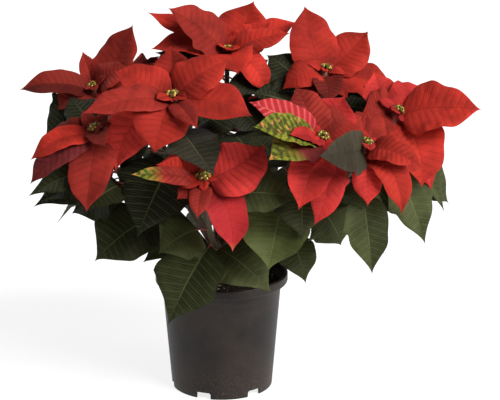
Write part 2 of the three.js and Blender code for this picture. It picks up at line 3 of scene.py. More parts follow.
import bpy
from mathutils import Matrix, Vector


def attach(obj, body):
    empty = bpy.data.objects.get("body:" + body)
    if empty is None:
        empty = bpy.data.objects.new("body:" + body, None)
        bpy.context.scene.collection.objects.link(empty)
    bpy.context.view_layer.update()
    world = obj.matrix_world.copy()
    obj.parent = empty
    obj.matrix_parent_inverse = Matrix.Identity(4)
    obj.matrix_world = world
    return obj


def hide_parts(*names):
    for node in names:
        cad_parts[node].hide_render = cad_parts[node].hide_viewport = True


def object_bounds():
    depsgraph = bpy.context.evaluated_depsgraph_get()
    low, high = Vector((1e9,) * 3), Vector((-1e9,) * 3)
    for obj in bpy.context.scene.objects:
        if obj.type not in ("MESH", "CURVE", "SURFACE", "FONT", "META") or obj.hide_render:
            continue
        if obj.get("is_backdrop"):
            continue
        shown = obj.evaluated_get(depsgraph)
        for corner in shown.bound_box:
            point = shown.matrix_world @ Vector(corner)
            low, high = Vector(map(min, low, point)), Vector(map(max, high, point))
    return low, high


bl_info = {
    "name": "Potted Poinsettia",
    "version": (1, 0, 0),
    "blender": (4, 5, 0),
    "location": "3D View > Sidebar > Poinsettia",
    "description": "Makes a potted poinsettia on a packed model",
    "category": "Add Mesh",
}

import math

import bmesh
import bpy
from bpy.props import FloatProperty, FloatVectorProperty, IntProperty, PointerProperty
from mathutils import Quaternion, Vector
from mathutils.kdtree import KDTree

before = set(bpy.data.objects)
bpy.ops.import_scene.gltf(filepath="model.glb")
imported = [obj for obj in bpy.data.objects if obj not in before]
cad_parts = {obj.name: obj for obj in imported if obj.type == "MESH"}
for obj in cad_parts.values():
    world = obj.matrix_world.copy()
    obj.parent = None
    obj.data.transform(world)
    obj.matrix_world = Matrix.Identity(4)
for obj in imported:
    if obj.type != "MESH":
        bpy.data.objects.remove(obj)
CAD_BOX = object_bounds()
MM = 0.001
UP = Vector((0, 0, 1))

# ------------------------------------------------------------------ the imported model's plan

# These sizes, in millimetres and degrees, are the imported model's own.
GAP = 0.3
POT_HEIGHT = 125
RIM_RADIUS = 70
SHOULDER = 114.5  # how high the wall meets the turned-out rim
SHOULDER_RADIUS = 63
BASE_RADIUS = 53.5
WALL = 1.6
FLOOR = 2
SLOT_COUNT = 6
SLOT_WIDTH = 15.5
SLOT_HEIGHT = 7
SLOT_FIRST = -110.5
SLOT_REACH = 12
SOIL_TOP = 113
TRUNK_RADII = (6.5, 4.5)
TRUNK_HEIGHTS = (45, 168)
STUB_REACH = 17
STUB_RADIUS = 3.9
STUB_LOWEST = 124
STUB_STEP = 13
STUB_RISE = 42
STEM_RADII = (3.5, 2.6)
STEM_PULL = 0.38
HUB_LENGTH = 15
HUB_RADII = (3.1, 3.7)
HEAD_LEAN = 0.0032
LIGHT = Vector((0, -0.85, 0.53))
FACING = 0.62
BACK_FACING = 0.35
ROOT_OFFSET = 1.6
SPINE_BELLY = 0.42
RIPPLE = 0.05
RIPPLE_TURN = 9
RIPPLE_LAG = 1.9
RIPPLE_START = (0.37, 0.61)
BRACT_DEPTHS = (2.5, 12.5)
BRACT = {"petiole": 0.13, "belly": 0.74, "taper": 0.9, "fold": 0.22}
LEAF = {"petiole": 0.3, "belly": 0.72, "taper": 0.8, "fold": 0.2}
LIFTS = (0, 4, -4, 8, -8, 12, -12, 17, -17)
SWINGS = (0, 5, -5)
FILL_GAP = 72
FILL_LENGTH = 66
FILL_WIDTH = 36
FILL_ARCH = 10
FILL_DROOP = (-1, 25)
FILL_FRONT = 0.2
RULE_LEAVES = (0.3, 0.4, 0.5, 0.6, 0.7, 0.78, 0.86, 0.94)
RULE_LEAF_LENGTH = 100
RULE_LEAF_WIDTH = 50
RULE_LEAF_ARCH = 14
RULE_LEAF_DROOP = (8, 48)
RULE_LEAF_FRONT = -30
GOLDEN_ANGLE = 137.5
TIP_TOLERANCE = 0.08

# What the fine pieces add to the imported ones' plan. Lengths named in metres are in metres.
FOOT_RISE = 8.2  # how high the pot's floor stands inside its foot
HUB_SWELL = (0.0, 1.0, 2.1, 2.8, 2.9, 2.0, -0.9)  # added to the hub's radius, from its foot up
FLARE = 0.2  # share of a blade that widens from its stalk
LOBE_RISE = 0.17  # share of a blade that a lobe takes to stand out, and to end
LOBE_FALL = 0.045
SCALLOP = 0.035  # share of the half width
FOOT_METRES = 0.0011  # least half width of a blade's foot
BUMP_METRES = 0.0035
KEEL_METRES = 0.0006
MERGE_METRES = 4e-6
BRACT_STALK = 0.4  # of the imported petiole: the fine blade runs down the rest
PETIOLE_SIDES = 8
INNER_BRACTS = 6
INNER_LENGTH = (15, 27)
INNER_DROOP = (-28, 12)
CYATHIA = 13

# A blade's row: its point from the head, its width, arch, roll and bow. A leaf's starts with
# its place on the stem, and may end with its petiole's share of its length.
PLANS = [
    {
        "head": (6, 70, 348), "tier": 2,
        "bracts": [
            (-87, 25, 37, 28, 6), (-62, -12, 47, 54, 8), (-82, -12, -1, 36, 12),
            (28, 38, 47, 64, -6), (47, 12, 26, 40, -2), (68, 0, 15, 38, 8),
            (44, -30, -40, 32, 22), (12, -45, -23, 36, 12), (76, 35, 24, 34, 8),
        ],
        "leaves": [
            (0.9, -72, -25, 9, 38, 10), (0.93, 20, -20, -54, 54, 12),
            (0.75, 36, -55, -65, 46, 10), (0.8, -23, -50, -97, 50, 14),
            (0.97, 41, -32, -36, 40, 8),
        ],
    },
    {
        "head": (-47, -60, 327), "tier": 2,
        "bracts": [
            (-16, -52, -47, 60, 12), (29, -58, -29, 24, 8), (81, -25, -20, 48, 14),
            (56, 12, 33, 50, 10), (-2, 28, 45, 42, -4), (-58, 8, 22, 40, 8),
            (-86, -44, -9, 36, 12), (-56, -22, -73, 46, 10, 0, 14),
        ],
        "front": [
            (0.9, 44, -108, -55, 46, 0, 0, 0, 0.13),
        ],
        "leaves": [
            (0.72, -34, -45, -134, 72, 14, 0, 0, 0.2), (0.8, 53, -35, -47, 46, 14),
            (0.92, -24, 15, -55, 46, 8), (0.6, -45, -10, -95, 56, 12, 0, 0, 0.2),
        ],
    },
    {
        "head": (-124, -70, 295), "tier": 1,
        "bracts": [
            (-64, -10, -30, 28, 16), (-65, -30, -43, 34, 14), (13, -32, -11, 20, 8),
            (-5, -52, -71, 46, 6), (10, 24, 12, 14, 5), (-14, 24, 12, 14, 5),
        ],
        "leaves": [
            (0.78, -66, -20, -64, 36, 16), (0.7, -55, -10, -72, 34, 12),
            (0.6, -27, 10, -91, 46, 14), (0.4, -4, 0, -138, 62, 12, 0, 0, 0.2),
            (0.66, -11, -25, -85, 34, 14), (0.15, 43, 20, -146, 22, 8),
            (0.92, -31, 70, 14, 40, 8), (0.42, 19, 58, -42, 42, 8),
        ],
    },
    {
        "head": (-133, 20, 319), "tier": 0,
        "bracts": [
            (-76, -8, -2, 34, 12), (-36, -18, -17, 38, 10), (-12, 20, 34, 20, -4),
            (42, 12, 63, 50, -4), (40, -12, 22, 40, 8), (28, -25, -7, 18, 6),
        ],
        "leaves": [
            (0.93, -51, -15, -55, 50, 18), (0.9, -21, -60, -32, 46, 10),
            (0.6, -35, -20, -106, 50, 16), (0.75, 51, -50, -71, 44, 10),
        ],
    },
    {
        "head": (-88, 95, 320), "tier": 1,
        "leaves": [
            (0.85, 11, -35, -46, 44, 10),
        ],
    },
    {
        "head": (110, 60, 330), "tier": 1,
        "bracts": [
            (-22, 20, 64, 56, -6), (44, 15, 44, 50, -4), (-47, -30, -17, 32, 16),
            (2, -50, -27, 34, 8), (23, -26, -26, 22, 8), (-27, -34, -31, 32, 10),
            (77, 22, -28, 56, 8),
        ],
        "leaves": [
            (0.88, -61, 10, 15, 40, 12), (0.88, 60, 30, -7, 36, 8),
            (0.7, -67, -20, -51, 44, 12), (0.75, 15, -30, -81, 46, 10),
            (0.8, -82, -30, -23, 46, 10), (0.85, 60, -38, -40, 50, 8),
        ],
    },
    {
        "head": (182, -10, 300), "tier": 0,
        "bracts": [
            (82, -20, 6, 56, 8), (34, 40, 14, 50, 6), (-22, 22, 40, 46, -4),
            (21, -42, -70, 50, 12, 0, -7), (37, -16, -80, 36, 18), (-38, -8, 0, 44, 4),
        ],
        "leaves": [
            (0.9, 31, -35, -132, 44, 14), (0.95, 51, 5, -110, 20, 16),
            (0.3, -94, -25, -178, 38, 14), (0.7, -3, -25, -104, 50, 14),
        ],
    },
    {
        "head": (100, -110, 297), "tier": 2,
        "bracts": [
            (-68, -62, 24, 28, 6), (-51, -66, -3, 30, 8), (-69, -16, 40, 34, 8),
            (-36, -46, 10, 22, 4), (-24, -50, -60, 44, 10), (-9, -32, -81, 34, 10, 0, -10),
            (39, 15, 21, 42, 8), (-4, 25, 39, 14, -4), (-25, 20, 46, 34, 6),
            (22, 20, 36, 38, -4),
        ],
        "leaves": [
            (0.6, -52, -15, -132, 66, 14), (0.75, -19, -20, -99, 46, 14),
            (0.85, -60, 45, -31, 44, 10), (0.72, -70, 90, -21, 44, 8),
            (0.55, -58, 85, -62, 46, 8),
        ],
    },
    {
        "head": (145, -90, 285), "tier": 1,
        "bracts": [
            (-52, -90, 10, 44, 8, -42), (-1, -35, -54, 34, 8), (31, -40, -64, 34, 12, 0, -8),
            (0, 10, 32, 14, -3), (49, -30, -15, 34, 10),
        ],
        "leaves": [
            (0.95, 6, -20, -129, 42, 12), (0.6, -23, 20, -111, 52, 12),
            (0.85, -3, -20, -63, 30, 10),
        ],
    },
    {
        "head": (-15, -136, 264), "tier": 0,
        "bracts": [
            (-41, -6, 19, 26, 6), (-72, -22, 2, 20, 6), (-25, -15, -19, 20, 4),
            (-5, -30, -34, 22, 8), (29, -38, -61, 46, 10, 0, -9), (56, 6, 38, 50, 8, 0, 8),
        ],
        "leaves": [
            (0.42, -38, 42, -167, 66, 10, 0, 0, 0.06), (0.3, 67, 36, -131, 62, 10, 0, 0, 0.08),
            (0.9, 95, 8, -25, 50, 12), (0.6, -43, 6, -71, 58, 12),
        ],
    },
    {"head": (62, 158, 262), "tier": 0},
    {"head": (-32, 168, 268), "tier": 1},
    {"head": (-120, 140, 258), "tier": 0},
    {"head": (150, 112, 262), "tier": 0},
]

# ------------------------------------------------------------------ colours


def linear(red, green, blue):
    """A colour given in the 0 to 255 steps of a paint chart, as linear light."""
    return tuple(
        c / 3294.6 if c <= 10 else ((c / 255 + 0.055) / 1.055) ** 2.4 for c in (red, green, blue)
    )


SCARLET = linear(184, 49, 38)
POPPY = linear(169, 46, 36)
BRICK = linear(148, 44, 36)
DULL = linear(124, 39, 31)
CRIMSON = linear(180, 48, 45)
RUBY = linear(202, 55, 50)
# Painted light: a light red for a bract that lies in shade.
PAINTED_LIGHT_RED = linear(222, 65, 56)
SHADED = linear(122, 38, 32)
MAROON = linear(112, 40, 40)
ROSE = linear(168, 42, 44)
PINK = linear(224, 104, 108)
PEACH = linear(232, 176, 150)
OLIVE = linear(66, 62, 47)
UMBER = linear(52, 46, 39)
LIME = linear(140, 136, 48)
GRASS = linear(88, 104, 32)
APRICOT = linear(214, 130, 76)
# Painted shade: the darkest green, for leaves that lie under the heads.
SHADED_LEAF_GREEN = linear(31, 31, 20)
DEEP_GREEN = linear(43, 44, 25)
MOSS = linear(60, 64, 36)
FRESH_GREEN = linear(80, 86, 46)

# Head reds: the darker ones on the heads on the left, away from the key light, are partly their own
# tone and partly painted shade.
HEAD_TONES = [SCARLET, POPPY, DULL, BRICK, BRICK, POPPY, CRIMSON, CRIMSON, RUBY, SCARLET]
# Leaf greens: the darkest, on the upper shoots under the heads, is painted shade.
LEAF_TONES = [
    SHADED_LEAF_GREEN, SHADED_LEAF_GREEN, DEEP_GREEN, SHADED_LEAF_GREEN, SHADED_LEAF_GREEN, SHADED_LEAF_GREEN, MOSS, DEEP_GREEN, MOSS, MOSS
]


def toned(tone, tip_tone=None, **more):
    """A look in a tone of its own, that turns to another one towards the tip if that is given."""
    return {"tone": tone, "tip_tone": tip_tone or tone, **more}


# Blades with a look of their own, by list, and by shoot and row: what differs from the rest.
# Besides the blades' own colour, darker reds here paint the shade on blades that lie in shadow,
# and half darkens one side of a blade's midrib as painted shade.
LOOKS = {
    "front": {
        (1, 0): toned(UMBER),
    },
    "leaves": {
        (0, 4): {"wide": 1.3},
        (2, 2): {"wide": 1.2},
        (2, 3): {"wide": 1.2},
        (2, 4): {"wide": 1.3},
        # Painted shade: the darkest green on a leaf behind a head.
        (2, 6): toned(SHADED_LEAF_GREEN),
        (5, 0): {"wide": 1.45},
        (5, 4): {"wide": 1.25},
        (7, 0): toned(FRESH_GREEN),
        (7, 4): {"wide": 1.2},
    },
    "rule": {
        (3, 4): {"wide": 1.2},
    },
    "bracts": {
        (0, 1): toned(BRICK),
        (0, 6): {"wide": 1.12},
        (0, 7): {"wide": 1.35},
        (1, 1): toned(BRICK, POPPY),
        (1, 2): toned(POPPY, BRICK),
        (1, 6): toned(BRICK),
        # Painted light on a bract that lies in shade under the head's other bracts.
        (1, 7): toned(PAINTED_LIGHT_RED, crinkle=0.7, wide=1.15, half=0.0),
        (2, 0): toned(SCARLET),
        (2, 1): toned(MAROON, SHADED, crinkle=0.9),
        (2, 2): {"wide": 1.15},
        (2, 3): toned(BRICK),
        (3, 0): toned(DULL, BRICK, half=-1.0),
        (3, 1): toned(DULL),
        (5, 2): toned(POPPY, wide=1.1),
        (5, 3): toned(SHADED, crinkle=1.3),
        (5, 5): toned(SHADED, crinkle=1.3),
        (6, 0): toned(SCARLET, RUBY, crinkle=0.7, wide=1.15),
        (6, 1): toned(RUBY, SCARLET),
        (6, 2): toned(RUBY, SCARLET),
        (6, 3): toned(SCARLET, POPPY, half=0.0, wide=1.15),
        (6, 5): toned(BRICK, wide=1.35),
        (7, 0): toned(LIME, tip_from=-1.0, mottle=1.0, wide=1.3, lobe_left=0.2),
        (7, 1): toned(MAROON, LIME, tip_from=0.52, mottle=1.0, wide=1.35, lobe_right=0.2),
        (7, 2): toned(ROSE, pale_veins=0.8, crinkle=0.3),
        (7, 4): toned(RUBY, SCARLET, half=0.0),
        (7, 6): toned(BRICK, POPPY),
        (7, 8): toned(BRICK, crinkle=1.1, wide=1.15),
        (7, 9): {"wide": 1.3},
        (8, 0): toned(OLIVE, crinkle=1.6, pale_veins=0.04, lobe_left=0.25, wide=0.9),
        (8, 2): toned(POPPY),
        (8, 3): toned(BRICK, POPPY),
        (8, 4): toned(POPPY, crinkle=0.9),
        (9, 1): toned(BRICK, LIME, tip_from=0.57, mottle=1.0, crinkle=1.1),
        (9, 2): toned(BRICK),
        (9, 3): toned(BRICK),
        (9, 4): toned(ROSE, APRICOT, tip_from=0.86, crinkle=0.0, wide=0.85, lobe_left=0.0),
        (9, 5): toned(
            RUBY, SCARLET, crinkle=1.0, half=0.0, taper=1.35, wide=1.2, lobe_left=0.0, lobe_right=0.0
        ),
    },
    "fill": {
        (6, 1): {"wide": 1.4},
        (8, 1): toned(POPPY),
        (8, 2): toned(BRICK, POPPY),
        (12, 6): {"wide": 1.3},
        (13, 4): {"wide": 1.3},
        (13, 6): {"wide": 1.4},
    },
}

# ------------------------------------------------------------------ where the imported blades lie


def chance(seed):
    """A repeatable number from 0 to 1 for a seed."""
    x = math.sin(seed * 127.1 + 11.7) * 43758.5453
    return x - math.floor(x)


def near_one(band, seed):
    return 1 + band * (chance(seed) - 0.5)


def part_way(ends, step, steps=1):
    """The number that lies some steps of the way from one end to the other."""
    return ends[0] + (ends[1] - ends[0]) * step / steps


def between(ends, seed):
    return part_way(ends, chance(seed))


def perpendicular(vector, along):
    return (vector - along * vector.dot(along)).normalized()


def turn(vector, axis, degrees):
    return Quaternion(axis, math.radians(degrees)) @ vector


class Shoot:
    """A shoot's head, its stub on the trunk, and the cubic curve of its stem, in millimetres."""

    STEPS = 200

    def __init__(self, index, plan):
        x, y, _ = plan["head"]
        rise = math.radians(STUB_RISE)
        self.index = index
        self.number = f"{index + 1:02d}"
        self.plan = plan
        self.head = Vector(plan["head"])
        self.axis = Vector((x * HEAD_LEAN, y * HEAD_LEAN, 1)).normalized()
        self.right = perpendicular(Vector((1, 0, 0)), self.axis)
        self.outward = Vector((x, y, 0)).normalized()
        self.foot = Vector((0, 0, STUB_LOWEST + plan["tier"] * STUB_STEP))
        self.way = self.outward * math.cos(rise) + UP * math.sin(rise)
        start = self.foot + self.way * (STUB_REACH + GAP)
        end = self.head - self.axis * (HUB_LENGTH + GAP)
        pull = (end - start).length * STEM_PULL
        self.handles = (start, start + self.way * pull, end - self.axis * pull, end)
        points = [self.at(i / self.STEPS) for i in range(self.STEPS + 1)]
        self.lengths = [0.0]
        for near, far in zip(points, points[1:]):
            self.lengths.append(self.lengths[-1] + (far - near).length)

    def rows(self, label):
        return self.plan.get(label, ())

    def at(self, t):
        a, b, c, d = self.handles
        u = 1 - t
        return a * u**3 + b * (3 * u * u * t) + c * (3 * u * t * t) + d * t**3

    def along(self, share):
        """The stem's point at a share of its length."""
        target = share * self.lengths[-1]
        i = max(k for k in range(self.STEPS) if self.lengths[k] <= target)
        step = self.lengths[i + 1] - self.lengths[i]
        return self.at((i + (target - self.lengths[i]) / step) / self.STEPS)

    def facing(self, axis):
        """Where the blades face: to the light, or outward on a shoot that the rules alone fill."""
        if self.rows("bracts"):
            return axis.lerp(LIGHT, FACING)
        return axis.lerp(self.outward, BACK_FACING)


SHOOTS = [Shoot(index, plan) for index, plan in enumerate(PLANS)]


def blade_of(root, tip, facing, phase, form, width, arch, roll=0, bow=0):
    return {
        "root": root, "tip": tip, "facing": facing, "phase": phase,
        "width": width, "arch": arch, "roll": roll, "bow": bow, **form,
    }


def phase_of(x, z):
    return x * RIPPLE_START[0] + z * RIPPLE_START[1]


def bract_of(shoot, x, y, z, *size):
    reach = Vector((x, y, z))
    depth = part_way(BRACT_DEPTHS, reach.angle(shoot.axis), math.pi)
    root = shoot.head - shoot.axis * depth + perpendicular(reach, shoot.axis) * ROOT_OFFSET
    facing = shoot.facing(shoot.axis)
    return blade_of(root, shoot.head + reach, facing, phase_of(x, z), BRACT, *size)


def leaf_of(shoot, at, x, y, z, width, arch, roll=0, bow=0, petiole=LEAF["petiole"]):
    tip = shoot.head + Vector((x, y, z))
    form = {**LEAF, "petiole": petiole}
    facing = shoot.facing(UP)
    return blade_of(shoot.along(at), tip, facing, phase_of(x, z), form, width, arch, roll, bow)


def fill_bracts(shoot):
    """The rows of the bracts that close a head's widest open angles."""
    back = shoot.axis.cross(shoot.right)
    reaches = [Vector(row[:3]) for row in shoot.rows("bracts")]
    angles = [math.degrees(math.atan2(r.dot(back), r.dot(shoot.right))) for r in reaches]
    is_laid = bool(angles)
    if not is_laid:
        angles.append(360 * chance(shoot.index) - 180)
    rows = []
    while True:
        angles.sort()
        spans = [b - a for a, b in zip(angles, angles[1:] + [angles[0] + 360])]
        widest = spans.index(max(spans))
        if spans[widest] < FILL_GAP:
            return rows
        angle = angles[widest] + spans[widest] / 2
        length = FILL_LENGTH * near_one(0.3, shoot.index * 5 + len(rows))
        droop = math.radians(between(FILL_DROOP, shoot.index * 9 + len(rows)))
        side = turn(shoot.right, shoot.axis, angle)
        reach = side * (length * math.cos(droop)) - shoot.axis * (length * math.sin(droop))
        if not (is_laid and reach.y < FILL_FRONT * length):
            rows.append((*reach, FILL_WIDTH, FILL_ARCH))
        angles.append(angle - 360 if angle > 180 else angle)


def rule_leaves(shoot):
    """The rows of the leaves up a stem, each turned from the last by the golden angle."""
    seed = shoot.index
    rows = []
    for i, at in enumerate(RULE_LEAVES):
        angle = math.radians(GOLDEN_ANGLE * i + 360 * chance(seed + 0.5))
        length = RULE_LEAF_LENGTH * near_one(0.4, seed * 7 + i)
        width = RULE_LEAF_WIDTH * near_one(0.4, seed * 13 + i)
        droop = math.radians(between(RULE_LEAF_DROOP, seed * 11 + i))
        level = length * math.cos(droop)
        reach = Vector((level * math.cos(angle), level * math.sin(angle), -length * math.sin(droop)))
        tip = shoot.along(at) + reach
        if tip.y >= RULE_LEAF_FRONT:
            rows.append((at, *(tip - shoot.head), width, RULE_LEAF_ARCH))
    return rows


def poses_of(blade):
    """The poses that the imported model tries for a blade, in its own order."""
    chord = blade["tip"] - blade["root"]
    along = chord.normalized()
    facing = perpendicular(blade["facing"], along)
    right = along.cross(facing)
    for swing in SWINGS:
        for lift in LIFTS:
            turned = turn(turn(chord, right, lift), facing, swing)
            yield {**blade, "tip": blade["root"] + turned}


def packed_tips(node):
    """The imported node's corners, to look a blade's point up in."""
    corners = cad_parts[node].data.vertices
    tree = KDTree(len(corners))
    for i, corner in enumerate(corners):
        tree.insert(corner.co / MM, i)
    tree.balance()
    return tree


def blades_on(node, shoot, lists):
    """The lists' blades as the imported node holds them, each with its look.

    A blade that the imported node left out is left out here.
    """
    tips = packed_tips(node)
    found = []
    for label, rows, make in lists:
        for index, row in enumerate(rows):
            for pose in poses_of(make(shoot, *row)):
                if tips.find(pose["tip"])[2] < TIP_TOLERANCE:
                    found.append((pose, look_of(shoot, label, index)))
                    break
    return found


# ------------------------------------------------------------------ node trees by expression


def signs(operation):
    """The methods of one of Python's signs, with the Value on its left and on its right."""
    return (
        lambda self, other: self.maker.combine(operation, self, other),
        lambda self, other: self.maker.combine(operation, other, self),
    )


class Value:
    """A node's output, as a number or a vector in a Python expression."""

    def __init__(self, maker, socket):
        self.maker = maker
        self.socket = socket
        self.is_vector = socket.type == "VECTOR"

    __add__, __radd__ = signs("ADD")
    __sub__, __rsub__ = signs("SUBTRACT")
    __mul__, __rmul__ = signs("MULTIPLY")
    __truediv__, __rtruediv__ = signs("DIVIDE")

    def __pow__(self, other):
        return self.maker.math("POWER", self, other)

    def cross(self, other):
        return self.maker.vector_math("CROSS_PRODUCT", self, other)

    def normalized(self):
        return self.maker.vector_math("NORMALIZE", self)


class Maker:
    """Adds nodes to a tree."""

    position = None  # where noise is read if it is given no other place

    def __init__(self, tree):
        self.tree = tree
        tree.nodes.clear()

    def node(self, kind, inputs=None, **settings):
        """A node of a kind, with its settings made first and then its inputs' values or links."""
        node = self.tree.nodes.new(kind)
        for key, value in settings.items():
            setattr(node, key, value)
        for key, value in (inputs or {}).items():
            if isinstance(value, Value):
                self.link(value, node.inputs[key])
            else:
                node.inputs[key].default_value = value
        return node

    def link(self, value, socket):
        self.tree.links.new(value.socket, socket)

    def value(self, kind, inputs=None, output=0, **settings):
        return Value(self, self.node(kind, inputs, **settings).outputs[output])

    def math(self, operation, *values):
        return self.value("ShaderNodeMath", dict(enumerate(values)), operation=operation)

    def vector_math(self, operation, *values):
        return self.value("ShaderNodeVectorMath", dict(enumerate(values)), operation=operation)

    def combine(self, operation, first, second):
        """Two numbers, two vectors, or a vector scaled by a number."""
        vectors = [isinstance(each, Value) and each.is_vector for each in (first, second)]
        if all(vectors):
            return self.vector_math(operation, first, second)
        if any(vectors):
            vector, number = (first, second) if vectors[0] else (second, first)
            if operation == "DIVIDE":
                number = 1 / number
            inputs = {"Vector": vector, "Scale": number}
            return self.value("ShaderNodeVectorMath", inputs, operation="SCALE")
        return self.math(operation, first, second)

    def sine(self, value):
        return self.math("SINE", value)

    def absolute(self, value):
        return self.math("ABSOLUTE", value)

    def above(self, value, limit):
        return self.math("GREATER_THAN", value, limit)

    def clamp(self, value):
        return self.value("ShaderNodeClamp", {"Value": value})

    def smooth(self, value, low, high):
        """0 below low, 1 above high and a smooth step between them."""
        inputs = {"Value": value, "From Min": low, "From Max": high}
        return self.value("ShaderNodeMapRange", inputs, interpolation_type="SMOOTHSTEP")

    def component(self, vector, axis):
        return self.value("ShaderNodeSeparateXYZ", {"Vector": vector}, axis)

    def noise(self, scale, detail, roughness, place=None):
        vector = self.position if place is None else place
        inputs = {"Scale": scale, "Detail": detail, "Roughness": roughness, "Vector": vector}
        return self.value("ShaderNodeTexNoise", inputs)


# ------------------------------------------------------------------ materials


def rgba(color):
    return color if isinstance(color, Value) else (*color, 1.0)


class Skin(Maker):
    """A material's tree, which reads its textures at each point's place in the object."""

    def __init__(self, name):
        self.material = bpy.data.materials.new(name)
        self.material.use_nodes = True
        super().__init__(self.material.node_tree)
        self.position = self.value("ShaderNodeTexCoord", output="Object")

    def attribute(self, name, output="Fac"):
        return self.value("ShaderNodeAttribute", output=output, attribute_name=name)

    def stretched(self, *scale):
        return self.value("ShaderNodeMapping", {"Vector": self.position, "Scale": scale})

    def mix(self, factor, first, second, blend="MIX"):
        """One colour over another. The colour sockets of the node are its sixth and seventh."""
        inputs = {"Factor": factor, 6: rgba(first), 7: rgba(second)}
        return self.value("ShaderNodeMix", inputs, 2, data_type="RGBA", blend_type=blend)

    def times(self, first, second):
        return self.mix(1.0, first, second, "MULTIPLY")

    def finish(self, base, roughness, height, distance, strength=1.0, fixed=None):
        """Ends in the surface shader. fixed holds what is the same all over, by socket."""
        bump = {"Strength": strength, "Distance": distance, "Height": height}
        normal = self.value("ShaderNodeBump", bump)
        inputs = {"Base Color": base, "Roughness": roughness, "Normal": normal, **(fixed or {})}
        shader = self.value("ShaderNodeBsdfPrincipled", inputs)
        self.node("ShaderNodeOutputMaterial", {"Surface": shader})
        return self.material


class Veins:
    """A blade's own coordinates, and how near each point lies to its veins."""

    def __init__(self, skin, count, lean):
        place = skin.value("ShaderNodeUVMap", uv_map="blade_uv")
        self.across = skin.component(place, "X") * 2 - 1
        self.along = skin.component(place, "Y")
        self.out = skin.absolute(self.across)
        reach = self.out * skin.attribute("spread")
        row = veins_row(skin, self.along, self.across, reach, count, lean)
        edge = 1 - self.out ** 6
        self.side = self.line(skin, row, 0.075) * edge
        self.bands = self.line(skin, row, 0.5)
        self.small = self.line(skin, row * 3 + reach * 2, 0.2) * edge
        self.middle = skin.clamp(1.15 - self.out / (0.05 - 0.034 * self.along))

    @staticmethod
    def line(skin, row, width):
        """1 on each whole number, and 0 further than a width from it."""
        from_middle = skin.absolute(skin.math("FRACT", row) - 0.5)
        return skin.smooth(from_middle, 0.5 - width, 0.5)


def veins_row(maker, along, across, reach, count, lean):
    """Counts the side veins from a blade's base to its point. The two sides alternate.

    reach is how far out a place lies, as a share of the blade's greatest half width.
    """
    return along * count - reach * lean + maker.above(across, 0.0) * 0.4


def blade_material(name, settings, is_leaf, is_upper):
    """A leaf's or a bract's surface: its own tone, patchy, with a darker or paler net of veins,
    and painted shade on one side of the midrib, along a bract's vein furrows and at its base.
    """
    skin = Skin(name)
    veins = Veins(skin, settings.leaf_veins if is_leaf else settings.bract_veins, settings.vein_lean)
    tip_from = skin.attribute("tip_from")
    tip = skin.smooth(veins.along, tip_from, tip_from + 0.3)
    tone = skin.mix(tip, skin.attribute("tone", "Color"), skin.attribute("tip_tone", "Color"))
    patches = skin.noise(38.0, 3.0, 0.55)
    # The darker tint, used for random patches and for the painted shade below.
    shade = (0.42, 0.44, 0.42) if is_leaf else (0.5, 0.56, 0.58)
    tone = skin.mix(skin.smooth(patches, 0.4, 0.68) * 0.7, tone, skin.times(tone, shade))
    # Painted shade: one side of the midrib darker, by as much as the blade's half asks.
    half = skin.attribute("half")
    is_right = skin.smooth(veins.across, -0.1, 0.1)
    painted_half_shade = skin.clamp(half) * is_right + skin.clamp(-1 * half) * (1 - is_right)
    tone = skin.mix(painted_half_shade, tone, skin.times(tone, shade))
    fine = skin.noise(420.0, 2.0, 0.6)

    mottle = skin.attribute("mottle") * tip
    blotches = skin.smooth(skin.noise(230.0, 3.0, 0.65), 0.4, 0.6)
    streaks = skin.noise(170.0, 4.0, 0.75) * 1.3 + veins.bands * 0.3 + 0.3 * (0.5 - veins.out)
    blush = skin.smooth(skin.noise(150.0, 1.0, 0.5), 0.62, 0.72)
    tone = skin.mix(mottle * blotches * 0.8, tone, GRASS)
    tone = skin.mix(mottle * skin.smooth(streaks, 0.62, 0.94) * 0.8, tone, DEEP_GREEN)
    tone = skin.mix(mottle * blush * 0.6, tone, APRICOT)

    cells = {"Vector": skin.position, "Scale": 330.0, "Randomness": 0.9}
    net = skin.value("ShaderNodeTexVoronoi", cells, feature="DISTANCE_TO_EDGE")
    net = 1 - skin.smooth(net, 0.0, 0.16)
    lines = skin.math("MAXIMUM", veins.middle, veins.side * 0.8)
    lines = skin.math("MAXIMUM", lines, veins.small * 0.35)
    if is_leaf:
        vein_tone = linear(124, 132, 84) if is_upper else linear(120, 124, 92)
        tone = skin.mix(lines * (0.38 if is_upper else 0.6), tone, vein_tone)
    else:
        pale = skin.attribute("pale_veins")
        crinkle = skin.attribute("crinkle")
        # Painted shade along the vein furrows of crinkled bracts. The darker vein lines are partly the
        # veins' own colour, partly painted shade in their grooves.
        dark = skin.times(tone, (0.38, 0.58, 0.7))
        tone = skin.mix(skin.clamp(crinkle - 0.55) * veins.bands ** 2 * 0.6, tone, dark)
        tone = skin.mix(pale * veins.bands ** 3 * 0.75, tone, PINK)
        tone = skin.mix(pale * skin.smooth(veins.middle, 0.3, 0.8) * 0.8, tone, PEACH)
        tone = skin.mix(lines * (skin.clamp(crinkle * 0.5 + 0.06) * (1 - pale)), tone, dark)
        # Painted shade at the bract's base, in the head's throat under the cyathia.
        painted_throat_shade = 1 - skin.smooth(veins.along, 0.02, 0.34)
        tone = skin.mix(painted_throat_shade * 0.6, tone, skin.times(tone, shade))
    tone = skin.mix(net * 0.1, tone, DEEP_GREEN if is_leaf else linear(60, 14, 14))

    roughness = (0.42 if is_leaf else 0.52) + 0.2 * patches + 0.1 * fine
    if not is_upper:
        tone = skin.mix(1.0, tone, (0.04, 0.045, 0.03) if is_leaf else (0.07, 0.03, 0.026), "SCREEN")
        roughness = roughness + 0.12
    height = lines * (-1.0 if is_upper else 1.4) - net * 0.25 + fine * 0.35
    fixed = {"Specular IOR Level": 0.09 if is_leaf else 0.05}
    return skin.finish(tone, roughness, height, 0.0005, 0.6, fixed)


